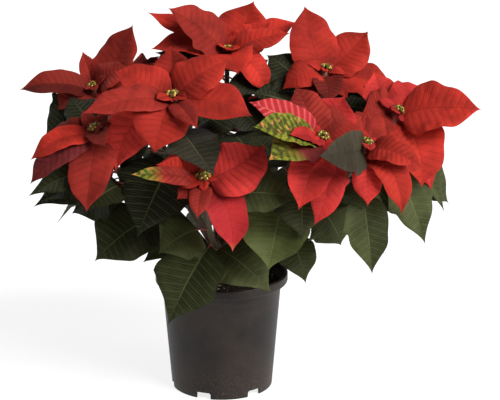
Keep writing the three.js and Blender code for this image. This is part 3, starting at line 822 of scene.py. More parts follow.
def stalk_material(name, low, high):
    """A stem's skin, from one colour to another in long soft patches."""
    skin = Skin(name)
    patches = skin.noise(30.0, 3.0, 0.6)
    fine = skin.noise(600.0, 3.0, 0.6)
    base = skin.mix(skin.smooth(patches, 0.38, 0.62), low, high)
    base = skin.mix(fine * 0.25, base, tuple(c * 0.45 for c in low))
    return skin.finish(base, 0.5 + 0.2 * fine, fine * 0.3 + patches * 0.6, 0.0008)


def bark_material():
    skin = Skin("bark")
    cracks = skin.noise(420.0, 5.0, 0.65, skin.stretched(1.0, 1.0, 0.22))
    lichen = skin.smooth(skin.noise(70.0, 3.0, 0.6), 0.5, 0.65)
    base = skin.mix(cracks, linear(40, 31, 23), linear(100, 82, 60))
    base = skin.mix(lichen * 0.4, base, linear(70, 68, 44))
    return skin.finish(base, 0.78 + 0.15 * cracks, cracks, 0.0015)


def peat_material():
    skin = Skin("peat")
    grains = skin.noise(900.0, 6.0, 0.7)
    clods = skin.noise(110.0, 4.0, 0.6)
    base = skin.mix(clods, linear(30, 22, 17), linear(62, 46, 34))
    base = skin.mix(skin.smooth(grains, 0.55, 0.8) * 0.5, base, linear(98, 76, 54))
    return skin.finish(base, 0.85 + 0.1 * grains, grains * 0.6 + clods, 0.002)


def perlite_material():
    skin = Skin("perlite")
    pores = skin.noise(1500.0, 3.0, 0.6)
    base = skin.mix(pores, linear(236, 232, 224), linear(176, 170, 160))
    return skin.finish(base, 0.8 + 0.1 * pores, pores, 0.0006)


def plastic_material(settings):
    """Black moulded plastic with a soft sheen, brush-fine streaks, and dust towards its foot."""
    skin = Skin("pot_plastic")
    height = skin.component(skin.position, "Z")
    streaks = skin.noise(260.0, 4.0, 0.6, skin.stretched(1.0, 1.0, 0.08))
    cloud = skin.noise(22.0, 4.0, 0.6)
    turnings = skin.noise(620.0, 3.0, 0.7, skin.stretched(0.03, 0.03, 1.0))
    turnings = turnings * skin.smooth(height, 0.07, 0.1)
    grain = skin.noise(2400.0, 2.0, 0.6)
    base = skin.mix(skin.smooth(cloud, 0.3, 0.7), settings.pot_dark, settings.pot_light)
    base = skin.mix(streaks * 0.2, base, linear(56, 48, 43))
    base = skin.mix(skin.smooth(turnings, 0.5, 0.7) * 0.35, base, linear(66, 57, 52))
    low = 1 - skin.smooth(height, 0.004, 0.045)
    high = skin.smooth(height, 0.11, 0.124)
    dust = skin.smooth(skin.noise(900.0, 4.0, 0.7), 0.55, 0.68)
    dust = dust * skin.clamp(low * 0.5 + high * 0.4 + skin.smooth(cloud, 0.5, 0.7) * 0.12)
    base = skin.mix(dust, base, linear(138, 112, 94))
    roughness = 0.36 + 0.16 * cloud + 0.1 * streaks + 0.3 * dust
    relief = grain * 0.5 + streaks * 0.6 + turnings * 0.8
    return skin.finish(base, roughness, relief, 0.0002, 1.0, {"Specular IOR Level": 0.24})


def cyathium_material(name, low, high):
    skin = Skin(name)
    patches = skin.noise(300.0, 3.0, 0.6)
    base = skin.mix(patches, low, high)
    return skin.finish(base, 0.32 + 0.2 * patches, patches, 0.0003, 1.0, {"Specular IOR Level": 0.5})


def paper_material(glow):
    """The floor's pale paper, which glows a little so that the shadows on it stay thin."""
    skin = Skin("floor_paper")
    grain = skin.noise(300.0, 2.0, 0.5)
    base = skin.mix(grain, (0.28,) * 3, (0.3,) * 3)
    fixed = {"Emission Color": (1.0,) * 4, "Emission Strength": glow}
    return skin.finish(base, 0.9 + 0.05 * grain, grain, 0.0001, 1.0, fixed)


# ------------------------------------------------------------------ geometry node trees


class GeometryTree(Maker):
    """A geometry node tree with named inputs, given as the names of each kind."""

    def __init__(self, name, sockets):
        self.group = bpy.data.node_groups.new(name, "GeometryNodeTree")
        self.identifiers = {}
        face = self.group.interface
        for way in ("OUTPUT", "INPUT"):
            face.new_socket("Geometry", in_out=way, socket_type="NodeSocketGeometry")
        for kind, labels in sockets.items():
            for label in labels:
                made = face.new_socket(label, in_out="INPUT", socket_type=f"NodeSocket{kind}")
                self.identifiers[label] = made.identifier
        super().__init__(self.group)
        self.inputs = self.node("NodeGroupInput").outputs

    def __getitem__(self, label):
        return Value(self, self.inputs[label])

    def read(self, name, data_type="FLOAT"):
        return self.value("GeometryNodeInputNamedAttribute", {"Name": name}, data_type=data_type)

    def store(self, geometry, name, value, data_type="FLOAT", domain="POINT"):
        inputs = {"Geometry": geometry, "Name": name, "Value": value}
        return self.value(
            "GeometryNodeStoreNamedAttribute", inputs, data_type=data_type, domain=domain
        )

    def join(self, *parts):
        node = self.node("GeometryNodeJoinGeometry")
        for part in parts:
            self.link(part, node.inputs[0])
        return Value(self, node.outputs[0])

    def copies(self, points, instance, **turns):
        """An instance on each point, turned and scaled by what else is given."""
        inputs = {"Points": points, "Instance": instance, **turns}
        return self.value("GeometryNodeInstanceOnPoints", inputs)

    def realized(self, geometry):
        return self.value("GeometryNodeRealizeInstances", {"Geometry": geometry})

    def end(self, geometry, materials):
        """Realizes the instances and sets each material on its own selection, as the last nodes."""
        geometry = self.realized(geometry)
        for label, selection in materials.items():
            inputs = {"Geometry": geometry, "Material": self[label]}
            if selection is not None:
                inputs["Selection"] = selection
            geometry = self.value("GeometryNodeSetMaterial", inputs)
        self.node("NodeGroupOutput", {"Geometry": geometry})
        return self

    def run(self, data, values):
        """The plain mesh that the tree makes of some data."""
        source = object_of("source", data)
        modifier = source.modifiers.new("make", "NODES")
        modifier.node_group = self.group
        for label, value in values.items():
            modifier[self.identifiers[label]] = value
        mesh = mesh_of(source, preserve_all_data_layers=True)
        bpy.data.objects.remove(source)
        if not mesh.polygons:
            raise RuntimeError(f"{self.group.name} made no mesh")
        return mesh


def blade_tree():
    """Thin, veined, rippled blades: one for each point, from the numbers that the point carries."""
    tree = GeometryTree(
        "blades",
        {
            "Int": ("Steps Along", "Steps Across"),
            "Float": (
                "Thickness", "Side Veins", "Vein Lean", "Quilting", "Edge Ruffle", "Drip", "Fullness"
            ),
            "Material": ("Upper Face", "Under Face"),
        },
    )
    steps = {"Vertices X": tree["Steps Across"], "Vertices Y": tree["Steps Along"]}
    grid = tree.node("GeometryNodeMeshGrid", {"Size X": 2.0, "Size Y": 1.0, **steps})
    flat, uv = (Value(tree, grid.outputs[label]) for label in ("Mesh", "UV Map"))
    flat = tree.store(flat, "blade_uv", uv, "FLOAT2", "CORNER")
    where = tree.value("GeometryNodeInputPosition")
    flat = tree.store(flat, "across", tree.component(where, "X"))
    flat = tree.store(flat, "along", tree.component(where, "Y") + 0.5)
    upper = tree.store(tree.store(flat, "side", 1.0), "is_under", False, "BOOLEAN", "FACE")
    under = tree.value("GeometryNodeFlipFaces", {"Mesh": flat})
    under = tree.store(tree.store(under, "side", -1.0), "is_under", True, "BOOLEAN", "FACE")
    blades = tree.realized(tree.copies(tree["Geometry"], tree.join(under, upper)))

    root, pull, tip, facing = (
        tree.read(name, "FLOAT_VECTOR") for name in ("root", "pull", "tip", "facing")
    )
    width, petiole, belly, taper, fold, phase, crinkle, lobe_left, lobe_right, lobe_at, roll_down = (
        tree.read(name)
        for name in (
            "width", "petiole", "belly", "taper", "fold", "phase", "crinkle",
            "lobe_left", "lobe_right", "lobe_at", "roll_down",
        )
    )
    across, along, side = (tree.read(name) for name in ("across", "along", "side"))
    out = tree.absolute(across)
    is_right = tree.above(across, 0.0)

    # The spine, and the frame on it.
    place = petiole + (1 - petiole) * along
    left = 1 - place
    centre = root * (left * left) + pull * (2 * place * left) + tip * (place * place)
    travel = ((pull - root) * left + (tip - pull) * place).normalized()
    right = travel.cross(facing).normalized()
    normal = right.cross(travel)

    # The half width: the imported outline's taper, the drip tip, the flare, a lobe and scallops.
    swell = tree.sine(math.pi * along)
    drip = tree.sine(math.pi / 2 * tree.clamp((1 - along) / tree["Drip"]))
    flare = tree.sine(math.pi / 2 * tree.clamp(along / FLARE))
    share = 0.5 * tree.sine(math.pi * along**belly) ** (taper * tree["Fullness"])
    share = share * drip**1.2 * flare**0.4
    lobe = tree.clamp((along - lobe_at) / LOBE_RISE + 1) * tree.clamp((lobe_at - along) / LOBE_FALL + 1)
    lobe = lobe * (lobe_right * is_right + lobe_left * (1 - is_right))
    scallop = 1 + SCALLOP * swell * tree.sine(15 * along + 3 * phase + 2.1 * is_right)
    foot = FOOT_METRES * tree.clamp(1 - 14 * along)
    half = tree.math("MAXIMUM", share * width * (scallop + lobe), foot)

    # The height over the spine: fold and ripple, rolled edge, ruffle, quilting, bumps, thickness.
    ripple = tree.sine(RIPPLE_TURN * along + phase + RIPPLE_LAG * (1 - is_right))
    lift = fold * half + RIPPLE * width * swell * ripple
    lift = lift * (out**1.7 * 1.2 - 0.2 * out**5) - roll_down * half * out**4
    ruffle = tree.sine(29 * along + 5 * phase + 2.6 * is_right)
    ruffle = tree["Edge Ruffle"] * width * swell * out**3 * ruffle
    spread = 2 * share
    row = veins_row(tree, along, across, out * spread, tree["Side Veins"], tree["Vein Lean"])
    arcs = tree.absolute(tree.sine(math.pi * row)) ** 0.8
    quilt = tree["Quilting"] * (0.6 + crinkle) * arcs * swell * (1 - out**5) * tree.clamp(out * 6)
    bumps = tree.noise(55.0, 2.0, 0.5, centre + right * (half * across) + normal * 0.001)
    bumps = BUMP_METRES * crinkle * (bumps - 0.5) * swell
    ends = (2 * along - 1) ** 8
    thick = 0.5 * tree["Thickness"] * side * (1 - out * out) ** 0.5 * (1 - ends)
    keel = KEEL_METRES * (side - 1) * 0.5 * (1 - ends) * tree.clamp(1 - 9 * out) * (1 - along)
    up = lift + ruffle + quilt + bumps + thick + keel

    blades = tree.store(blades, "spread", spread)
    moved = {"Geometry": blades, "Position": centre + right * (half * across) + normal * up}
    blades = tree.value("GeometryNodeSetPosition", moved)
    blades = tree.value(
        "GeometryNodeMergeByDistance", {"Geometry": blades, "Distance": MERGE_METRES}
    )
    blades = tree.value("GeometryNodeSetShadeSmooth", {"Geometry": blades, "Shade Smooth": True})
    sharp = {"Geometry": blades, "Selection": tree.above(out, 0.9999), "Shade Smooth": False}
    blades = tree.value("GeometryNodeSetShadeSmooth", sharp, domain="EDGE")
    is_under = tree.read("is_under", "BOOLEAN")
    is_upper = tree.value("FunctionNodeBooleanMath", {0: is_under}, operation="NOT")
    return tree.end(blades, {"Upper Face": is_upper, "Under Face": is_under})


def stalk_tree():
    """Round stalks along curves, whose points carry the radius."""
    tree = GeometryTree("stalks", {"Int": ["Sides"], "Float": ["Knobbliness"], "Material": ["Skin"]})
    ring = tree.value("GeometryNodeCurvePrimitiveCircle", {"Resolution": tree["Sides"], "Radius": 1.0})
    swept = {"Curve": tree["Geometry"], "Profile Curve": ring, "Fill Caps": True}
    tube = tree.node("GeometryNodeCurveToMesh", swept)
    if "Scale" in tube.inputs:
        tree.link(tree.value("GeometryNodeInputRadius"), tube.inputs["Scale"])
    lumps = tree.noise(150.0, 3.0, 0.6, tree.value("GeometryNodeInputPosition")) - 0.5
    moved = tree.value("GeometryNodeInputNormal") * (lumps * tree["Knobbliness"])
    stalks = {"Geometry": Value(tree, tube.outputs[0]), "Offset": moved}
    return tree.end(tree.value("GeometryNodeSetPosition", stalks), {"Skin": None})


def cluster_tree():
    """A copy of one cyathium on each point, turned along the point's way."""
    tree = GeometryTree("cluster", {"Object": ["Cyathium"], "Material": ["Cup", "Gland", "Stamens"]})
    source = tree.value("GeometryNodeObjectInfo", {"Object": tree["Cyathium"]}, "Geometry")
    way = {"Vector": tree.read("way", "FLOAT_VECTOR")}
    size = tree.value("ShaderNodeCombineXYZ", {k: tree.read("size") for k in range(3)})
    turned = tree.value("FunctionNodeAlignRotationToVector", way, axis="Z")
    copies = tree.copies(tree["Geometry"], source, Rotation=turned, Scale=size)
    part = tree.read("part")
    gland, stamens = (tree.math("COMPARE", part, number, 0.1) for number in (1.0, 2.0))
    return tree.end(copies, {"Cup": None, "Gland": gland, "Stamens": stamens})


def crumb_tree():
    """Crumbs of soil and specks of perlite, scattered over the faces that look up."""
    tree = GeometryTree(
        "crumbs",
        {
            "Object": ["Crumb"],
            "Float": ["Crumb Density", "Speck Density"],
            "Int": ["Seed"],
            "Material": ["Peat", "Perlite"],
        },
    )
    shape = tree.value("GeometryNodeObjectInfo", {"Object": tree["Crumb"]}, "Geometry")
    is_top = tree.above(tree.component(tree.value("GeometryNodeInputNormal"), "Z"), 0.6)
    parts = [tree["Geometry"]]
    # What is added to the seed, the density's name, the least and greatest size, and the mark.
    for offset, density, low, high, speck in (
        (0, "Crumb Density", 0.0006, 0.0021, 0.0),
        (7, "Speck Density", 0.0008, 0.0019, 1.0),
    ):
        seed = tree["Seed"] + offset
        spots = {"Mesh": parts[0], "Selection": is_top, "Density": tree[density], "Seed": seed}
        points = tree.value("GeometryNodeDistributePointsOnFaces", spots)
        size, spin = (
            tree.value(
                "FunctionNodeRandomValue",
                {"Min": (least,) * 3, "Max": (most,) * 3, "Seed": own_seed},
                data_type="FLOAT_VECTOR",
            )
            for least, most, own_seed in ((low, high, seed), (0.0, math.tau, seed + 3))
        )
        crumbs = tree.realized(tree.copies(points, shape, Rotation=spin, Scale=size))
        parts.append(tree.store(crumbs, "is_speck", speck))
    is_speck = tree.above(tree.read("is_speck"), 0.5)
    return tree.end(tree.join(*parts), {"Peat": None, "Perlite": is_speck})


# ------------------------------------------------------------------ meshes


def object_of(name, data):
    made = bpy.data.objects.new(name, data)
    bpy.context.scene.collection.objects.link(made)
    return made


def mesh_of(source, **options):
    """The plain mesh of an object with its modifiers."""
    graph = bpy.context.evaluated_depsgraph_get()
    return bpy.data.meshes.new_from_object(source.evaluated_get(graph), depsgraph=graph, **options)


def data_of(name, mesh):
    """The edited mesh as mesh data. The edited mesh is freed."""
    data = bpy.data.meshes.new(name)
    mesh.to_mesh(data)
    mesh.free()
    return data


def points_mesh(rows):
    """A mesh of loose points. Each row's numbers and vectors become the point's attributes."""
    mesh = bpy.data.meshes.new("points")
    mesh.from_pydata([row["root"] for row in rows], [], [])
    for key, first in rows[0].items():
        if isinstance(first, (Vector, tuple)):
            layer = mesh.attributes.new(key, "FLOAT_VECTOR", "POINT")
            layer.data.foreach_set("vector", [number for row in rows for number in row[key]])
        else:
            layer = mesh.attributes.new(key, "FLOAT", "POINT")
            layer.data.foreach_set("value", [row[key] for row in rows])
    return mesh


def curve_data(splines):
    """A curve of open splines. Each is a list of points in millimetres, each with its radius."""
    curve = bpy.data.curves.new("stalks", "CURVE")
    curve.dimensions = "3D"
    for points in splines:
        spline = curve.splines.new("POLY")
        spline.points.add(len(points) - 1)
        for target, (centre, radius) in zip(spline.points, points):
            target.co = (*(centre * MM), 1.0)
            target.radius = radius * MM
    return curve


def lathe(profile, sides):
    """A closed skin turned about +Z from a profile of (radius, height) points."""
    mesh = bmesh.new()
    rings = []
    for radius, height in profile:
        if radius == 0:
            rings.append([mesh.verts.new((0, 0, height * MM))] * sides)
            continue
        angles = [math.tau * k / sides for k in range(sides)]
        rings.append([
            mesh.verts.new((radius * MM * math.cos(a), radius * MM * math.sin(a), height * MM))
            for a in angles
        ])
    for near, far in zip(rings, rings[1:]):
        for k in range(sides):
            corners = [near[k], near[(k + 1) % sides], far[(k + 1) % sides], far[k]]
            mesh.faces.new(dict.fromkeys(corners))
    bmesh.ops.recalc_face_normals(mesh, faces=mesh.faces)
    return mesh


def rounded(profile, corners):
    """The profile with some of its corners cut to arcs. corners is index to (radius, steps)."""
    points = []
    for i, point in enumerate(profile):
        if i not in corners:
            points.append(point)
            continue
        radius, steps = corners[i]
        here = Vector(point)
        before = (Vector(profile[i - 1]) - here).normalized()
        after = (Vector(profile[i + 1]) - here).normalized()
        start, end = here + before * radius, here + after * radius
        for k in range(steps + 1):
            t = k / steps
            arc = start * (1 - t) ** 2 + here * (2 * t * (1 - t)) + end * t**2
            points.append(tuple(arc))
    return points


def joined(name, meshes):
    """One object of several meshes."""
    parts = [object_of(name if i == 0 else f"{name}_part", mesh) for i, mesh in enumerate(meshes)]
    if len(parts) > 1:
        picked = {"selected_editable_objects": parts, "selected_objects": parts}
        with bpy.context.temp_override(active_object=parts[0], object=parts[0], **picked):
            bpy.ops.object.join()
    return parts[0]


def keep(piece, slot, *nodes):
    """Makes a finished piece part of the model."""
    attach(piece, "root")
    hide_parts(*nodes)


# ------------------------------------------------------------------ the plant's parts


TREES = {}


def tree_of(make):
    """The tree that a function makes, made once."""
    if make not in TREES:
        TREES[make] = make()
    return TREES[make]


def look_of(shoot, label, index):
    """A blade's tones and form, drawn by its place, and then what LOOKS says of it.

    band is how widely the tones vary, and lobed the share of the blades with a lobe on a side.
    """
    seed = shoot.index * 31 + index * 7 + len(label)
    is_leaf = label in ("front", "leaves", "rule")
    tones, band, lobed = (LEAF_TONES, 0.5, 0.65) if is_leaf else (HEAD_TONES, 0.22, 0.12)
    share = near_one(band, seed)
    tone = tuple(c * share for c in tones[shoot.index % len(tones)])
    return {
        "tone": tone,
        "tip_from": 0.8,
        "mottle": 0.0,
        "pale_veins": 0.0,
        "crinkle": 0.25 + 0.5 * chance(seed + 0.7),
        # half: how much darker one side of the midrib is, as painted shade.
        "half": between((-0.55, 0.55), seed + 0.91),
        "wide": 1.0,
        "lobe_left": lobe_of(seed + 0.11, lobed),
        "lobe_right": lobe_of(seed + 0.23, lobed),
        "lobe_at": 0.4 + 0.18 * chance(seed + 0.37),
        "roll_down": between((-0.05, 0.24), seed + 0.43),
        "tip_tone": tuple(c * 0.9 for c in tone),
        **LOOKS.get(label, {}).get((shoot.index, index), {}),
    }


def lobe_of(seed, share):
    """How far a lobe stands out, for the given share of blades, or 0."""
    return 0.0 if chance(seed) > share else 0.1 + 0.22 * chance(seed + 0.5)


def point_of(blade, look):
    """What the blades' tree reads, in metres."""
    chord = blade["tip"] - blade["root"]
    along = chord.normalized()
    facing = turn(perpendicular(blade["facing"], along), along, blade["roll"])
    pull = blade["root"] + chord * SPINE_BELLY + facing * (2 * blade["arch"])
    pull += along.cross(facing) * (2 * blade["bow"])
    return {
        "root": blade["root"] * MM,
        "pull": pull * MM,
        "tip": blade["tip"] * MM,
        "facing": facing,
        "width": blade["width"] * look["wide"] * MM,
        **{key: float(blade[key]) for key in ("petiole", "belly", "taper", "fold", "phase")},
        **look,
    }


def inner_bracts(shoot):
    """The small bracts under a head's cyathia, each turned from the last by the golden angle."""
    rows = []
    for i in range(INNER_BRACTS):
        seed = shoot.index * 17 + i
        angle = GOLDEN_ANGLE * i + 360 * chance(shoot.index + 0.2)
        side = turn(shoot.right, shoot.axis, angle)
        droop = math.radians(between(INNER_DROOP, seed))
        length = between(INNER_LENGTH, seed + 0.6)
        root = shoot.head - shoot.axis * (1.2 + 0.7 * i) + side * ROOT_OFFSET
        tip = root + side * (length * math.cos(droop)) - shoot.axis * (length * math.sin(droop))
        width = length * near_one(0.3, seed + 0.4) * 0.58
        facing = shoot.facing(shoot.axis)
        blade = blade_of(root, tip, facing, 40 * chance(seed + 0.8), BRACT, width, 2.5)
        rows.append((blade, look_of(shoot, "inner", i)))
    return rows


def petiole_of(point, radii, steps=7):
    """The spline of a blade's petiole, from its root to a little way into the blade."""
    end = point["petiole"] + 0.05 * (1 - point["petiole"])
    spline = []
    for i in range(steps + 1):
        t = end * i / steps
        centre = point["root"] * (1 - t) ** 2 + point["pull"] * (2 * t * (1 - t)) + point["tip"] * t**2
        spline.append((centre / MM, part_way(radii, i, steps)))
    return spline


def blades_mesh(points, settings, is_leaf, upper, under):
    values = {
        "Steps Along": settings.steps_along,
        "Steps Across": settings.steps_across,
        "Thickness": settings.blade_thickness,
        "Side Veins": float(settings.leaf_veins if is_leaf else settings.bract_veins),
        "Vein Lean": settings.vein_lean,
        "Quilting": settings.quilting,
        "Edge Ruffle": settings.edge_ruffle,
        "Drip": settings.leaf_drip if is_leaf else settings.bract_drip,
        "Fullness": settings.leaf_fullness if is_leaf else settings.bract_fullness,
        "Upper Face": upper,
        "Under Face": under,
    }
    return tree_of(blade_tree).run(points_mesh(points), values)


def stalks_mesh(splines, skin, sides, knobbliness=0.0):
    """Smooth round stalks along splines."""
    values = {"Sides": sides, "Skin": skin, "Knobbliness": knobbliness}
    mesh = tree_of(stalk_tree).run(curve_data(splines), values)
    mesh.shade_smooth()
    return mesh


class PlantSettings(bpy.types.PropertyGroup):
    """Sizes and colours of the plant."""

    steps_along: IntProperty(
        name="Steps Along",
        description="Points from a blade's base to its tip",
        default=40,
        min=8,
        max=80,
    )
    steps_across: IntProperty(
        name="Steps Across",
        description="Points over a blade's width, an odd number",
        default=17,
        min=5,
        max=41,
    )
    blade_thickness: FloatProperty(
        name="Blade Thickness",
        description="Thickness of bracts and leaves",
        default=0.0006,
        subtype="DISTANCE",
    )
    leaf_veins: IntProperty(
        name="Leaf Veins", description="Side veins down one side of a leaf", default=12
    )
    bract_veins: IntProperty(
        name="Bract Veins", description="Side veins down one side of a bract", default=11
    )
    vein_lean: FloatProperty(
        name="Vein Lean", description="How far side veins run forward on their way out", default=1.5
    )
    quilting: FloatProperty(
        name="Quilting",
        description="Height of the tissue between two side veins",
        default=0.001,
        subtype="DISTANCE",
    )
    edge_ruffle: FloatProperty(
        name="Edge Ruffle",
        description="Height of the small ruffles, for each metre of width",
        default=0.016,
    )
    leaf_drip: FloatProperty(
        name="Leaf Drip", description="Share of a leaf that draws in to its point", default=0.42
    )
    bract_drip: FloatProperty(
        name="Bract Drip", description="Share of a bract that draws in to its point", default=0.26
    )
    leaf_fullness: FloatProperty(
        name="Leaf Fullness",
        description="Of the packed outline's taper: less makes rounder shoulders",
        default=0.62,
    )
    bract_fullness: FloatProperty(
        name="Bract Fullness",
        description="Of the packed outline's taper: less makes rounder shoulders",
        default=0.52,
    )
    stem_low: FloatVectorProperty(
        name="Stem Green",
        description="Stems near the trunk",
        subtype="COLOR",
        default=linear(60, 62, 36),
    )
    stem_high: FloatVectorProperty(
        name="Stem Blush", description="Blush on stems", subtype="COLOR", default=linear(84, 50, 36)
    )
    petiole: FloatVectorProperty(
        name="Petiole Red", description="Leaf stalks", subtype="COLOR", default=linear(120, 46, 38)
    )


class PotSettings(bpy.types.PropertyGroup):
    """Sizes and colours of the pot and its soil."""

    pot_sides: IntProperty(
        name="Pot Sides", description="Flats round the pot", default=144, min=36, max=360
    )
    pot_dark: FloatVectorProperty(
        name="Pot Dark", description="Darker plastic", subtype="COLOR", default=linear(14, 10, 9)
    )
    pot_light: FloatVectorProperty(
        name="Pot Light", description="Lighter plastic", subtype="COLOR", default=linear(36, 28, 24)
    )
    crumb_density: FloatProperty(
        name="Crumbs", description="Crumbs on a square metre of soil", default=190000.0
    )
    speck_density: FloatProperty(
        name="Specks", description="Specks of perlite on a square metre of soil", default=9000.0
    )
    seed: IntProperty(name="Seed", description="Seed of the scattered crumbs", default=4)


class StageSettings(bpy.types.PropertyGroup):
    """Floor and light."""

    key: FloatProperty(name="Key Light", description="Strength of the key light", default=4.4)
    fill: FloatProperty(
        name="Fill Light", description="Strength of the low light from the right", default=0.95
    )
    back: FloatProperty(
        name="Back Light", description="Strength of the light from behind", default=1.1
    )
    spread: FloatProperty(
        name="Light Spread",
        description="Angle that each light fills",
        default=math.radians(38),
        subtype="ANGLE",
    )
    floor_glow: FloatProperty(
        name="Floor Glow",
        description="Light from the floor itself, which thins the shadows on it",
        default=0.8,
    )
    sky: FloatProperty(name="Sky", description="Strength of the even light all round", default=0.13)


def wall_radius(height, top_radius=SHOULDER_RADIUS, top=SHOULDER):
    """The pot's outer radius at a height under its shoulder."""
    return BASE_RADIUS + (top_radius - BASE_RADIUS) * height / top


class PLANT_OT_pot(bpy.types.Operator):
    """Make the nursery pot, turned in one skin, with its drain slots cut through the foot"""

    bl_idname = "plant.pot"
    bl_label = "Pot"

    RINGS = (SLOT_HEIGHT + 1.5, SLOT_HEIGHT + 6, 30, 60, 90)
    # A rounded corner's place in the profile, less the rings if it is over them, and its radius
    # and steps.
    FOOT_CORNER = 3
    FOOT_ROUNDING = (0.6, 4)
    ROUNDING = {5: (0.5, 3), 7: (1.2, 6), 8: (1.7, 7), 9: (1.5, 6), 10: (2.0, 5)}
    BEVEL_METRES = 0.0004
    SLOT_CORNER = 2.2

    def execute(self, context):
        settings = context.scene.plant_pot
        floor = FOOT_RISE + FLOOR
        rings = self.RINGS
        profile = [
            (0, FOOT_RISE),
            (BASE_RADIUS - WALL - 0.6, FOOT_RISE),
            (BASE_RADIUS - WALL, 0),
            (BASE_RADIUS, 0),
            *((wall_radius(height, SHOULDER_RADIUS - 0.2, SHOULDER - 2), height) for height in rings),
            (SHOULDER_RADIUS - 0.2, SHOULDER - 2),
            (SHOULDER_RADIUS + 0.6, SHOULDER - 0.4),
            (RIM_RADIUS - 1.0, SHOULDER + 0.6),
            (RIM_RADIUS, SHOULDER + 1.4),
            (RIM_RADIUS, POT_HEIGHT),
            (RIM_RADIUS - 3.6, POT_HEIGHT),
            (RIM_RADIUS - 4.4, SHOULDER + 5),
            (SHOULDER_RADIUS - WALL + 1, SHOULDER + 1),
            (SHOULDER_RADIUS - WALL, SHOULDER - 3),
            (wall_radius(floor) - WALL, floor),
            (0, floor),
        ]
        corners = {corner + len(rings): rounding for corner, rounding in self.ROUNDING.items()}
        corners[self.FOOT_CORNER] = self.FOOT_ROUNDING
        skin = lathe(rounded(profile, corners), settings.pot_sides)
        pot = object_of("pot_shell", data_of("pot_skin", skin))
        cutters = [self.cutter(i) for i in range(SLOT_COUNT)]
        for cutter in cutters:
            cut = pot.modifiers.new("slot", "BOOLEAN")
            cut.operation = "DIFFERENCE"
            cut.solver = "EXACT"
            cut.object = cutter
        bevel = pot.modifiers.new("soft_edges", "BEVEL")
        bevel.width = self.BEVEL_METRES
        bevel.segments = 2
        bevel.limit_method = "ANGLE"
        bevel.angle_limit = math.radians(50)
        mesh = mesh_of(pot)
        for each in (pot, *cutters):
            bpy.data.objects.remove(each)
        mesh.shade_smooth()
        mesh.set_sharp_from_angle(angle=math.radians(40))
        mesh.materials.clear()
        mesh.materials.append(plastic_material(settings))
        keep(object_of("nursery_pot", mesh), "pot", "pot")
        return {"FINISHED"}

    def cutter(self, index):
        """A block with rounded upper corners that cuts one slot."""
        half, height, corner = SLOT_WIDTH / 2, SLOT_HEIGHT, self.SLOT_CORNER
        outline = [(-half, -3), (half, -3), (half, height - corner)]
        for k in range(1, 5):
            angle = math.radians(90 * k / 5)
            in_by, down_by = corner * (1 - math.cos(angle)), corner * (1 - math.sin(angle))
            outline.append((half - in_by, height - down_by))
        outline.append((half - corner, height))
        outline += [(-x, z) for x, z in reversed(outline[2:])]
        mesh = bmesh.new()
        turned = Quaternion(UP, math.radians(SLOT_FIRST + index * 360 / SLOT_COUNT))
        near, far = (
            [mesh.verts.new(turned @ Vector((reach, y, z)) * MM) for y, z in outline]
            for reach in (BASE_RADIUS - SLOT_REACH, BASE_RADIUS + SLOT_REACH)
        )
        mesh.faces.new(near)
        mesh.faces.new(far[::-1])
        for k in range(len(outline)):
            following = (k + 1) % len(outline)
            mesh.faces.new([near[k], far[k], far[following], near[following]])
        bmesh.ops.recalc_face_normals(mesh, faces=mesh.faces)
        return object_of("slot_cutter", data_of("slot", mesh))


class PLANT_OT_soil(bpy.types.Operator):
    """Make the peat, with crumbs and specks of perlite over its uneven top"""

    bl_idname = "plant.soil"
    bl_label = "Soil"

    SIDES = 90
    RINGS = 26
    RELIEF = 0.9

    def execute(self, context):
        settings = context.scene.plant_pot
        wall = wall_radius(SOIL_TOP) - WALL
        under = FOOT_RISE + FLOOR + 0.4
        profile = [(0, under), (BASE_RADIUS - WALL - 0.6, under), (wall - 0.6, SOIL_TOP - 2.4)]
        for i in range(self.RINGS):
            share = 1 - i / self.RINGS
            profile.append(((wall - 0.9) * share, SOIL_TOP - 1.6 + 3.0 * (1 - share) ** 1.5))
        profile.append((0, SOIL_TOP + 1.2))
        mesh = lathe(profile, self.SIDES)
        for vert in mesh.verts:
            x, y, z = (c / MM for c in vert.co)
            if z > SOIL_TOP - 2:
                seed = round(x * 3.1, 2) + round(y * 7.7, 2)
                broad = math.sin(0.31 * x + 1.3) * math.cos(0.27 * y - 0.4)
                vert.co.z += (self.RELIEF * broad + self.RELIEF * (chance(seed) - 0.5)) * MM
        crumb = self.crumb()
        values = {
            "Crumb": crumb,
            "Crumb Density": settings.crumb_density,
            "Speck Density": settings.speck_density,
            "Seed": settings.seed,
            "Peat": peat_material(),
            "Perlite": perlite_material(),
        }
        soil = tree_of(crumb_tree).run(data_of("soil_skin", mesh), values)
        bpy.data.objects.remove(crumb)
        keep(object_of("peat", soil), "soil", "soil")
        return {"FINISHED"}

    @staticmethod
    def crumb():
        """One crumb with a radius of 1, knocked out of round."""
        mesh = bmesh.new()
        bmesh.ops.create_icosphere(mesh, subdivisions=1, radius=1.0)
        for i, vert in enumerate(mesh.verts):
            vert.co *= 0.65 + 0.6 * chance(i + 0.5)
        return object_of("crumb", data_of("crumb", mesh))


class PLANT_OT_trunk(bpy.types.Operator):
    """Make the woody trunk and the stubs that the shoots stand on"""

    bl_idname = "plant.trunk"
    bl_label = "Trunk"

    STEPS = 26
    STUB_STEPS = 8
    SIDES = 20
    KNOBBLINESS = 0.0011

    def execute(self, context):
        steps = self.STEPS
        splines = [[
            (UP * part_way(TRUNK_HEIGHTS, i, steps), part_way(TRUNK_RADII, i, steps))
            for i in range(steps + 1)
        ]]
        for shoot in SHOOTS:
            splines.append([
                (shoot.foot + shoot.way * (STUB_REACH * t), STUB_RADIUS * (1.15 - 0.15 * t))
                for t in (i / self.STUB_STEPS for i in range(self.STUB_STEPS + 1))
            ])
        mesh = stalks_mesh(splines, bark_material(), self.SIDES, self.KNOBBLINESS)
        keep(object_of("woody_trunk", mesh), "trunk", "trunk")
        return {"FINISHED"}


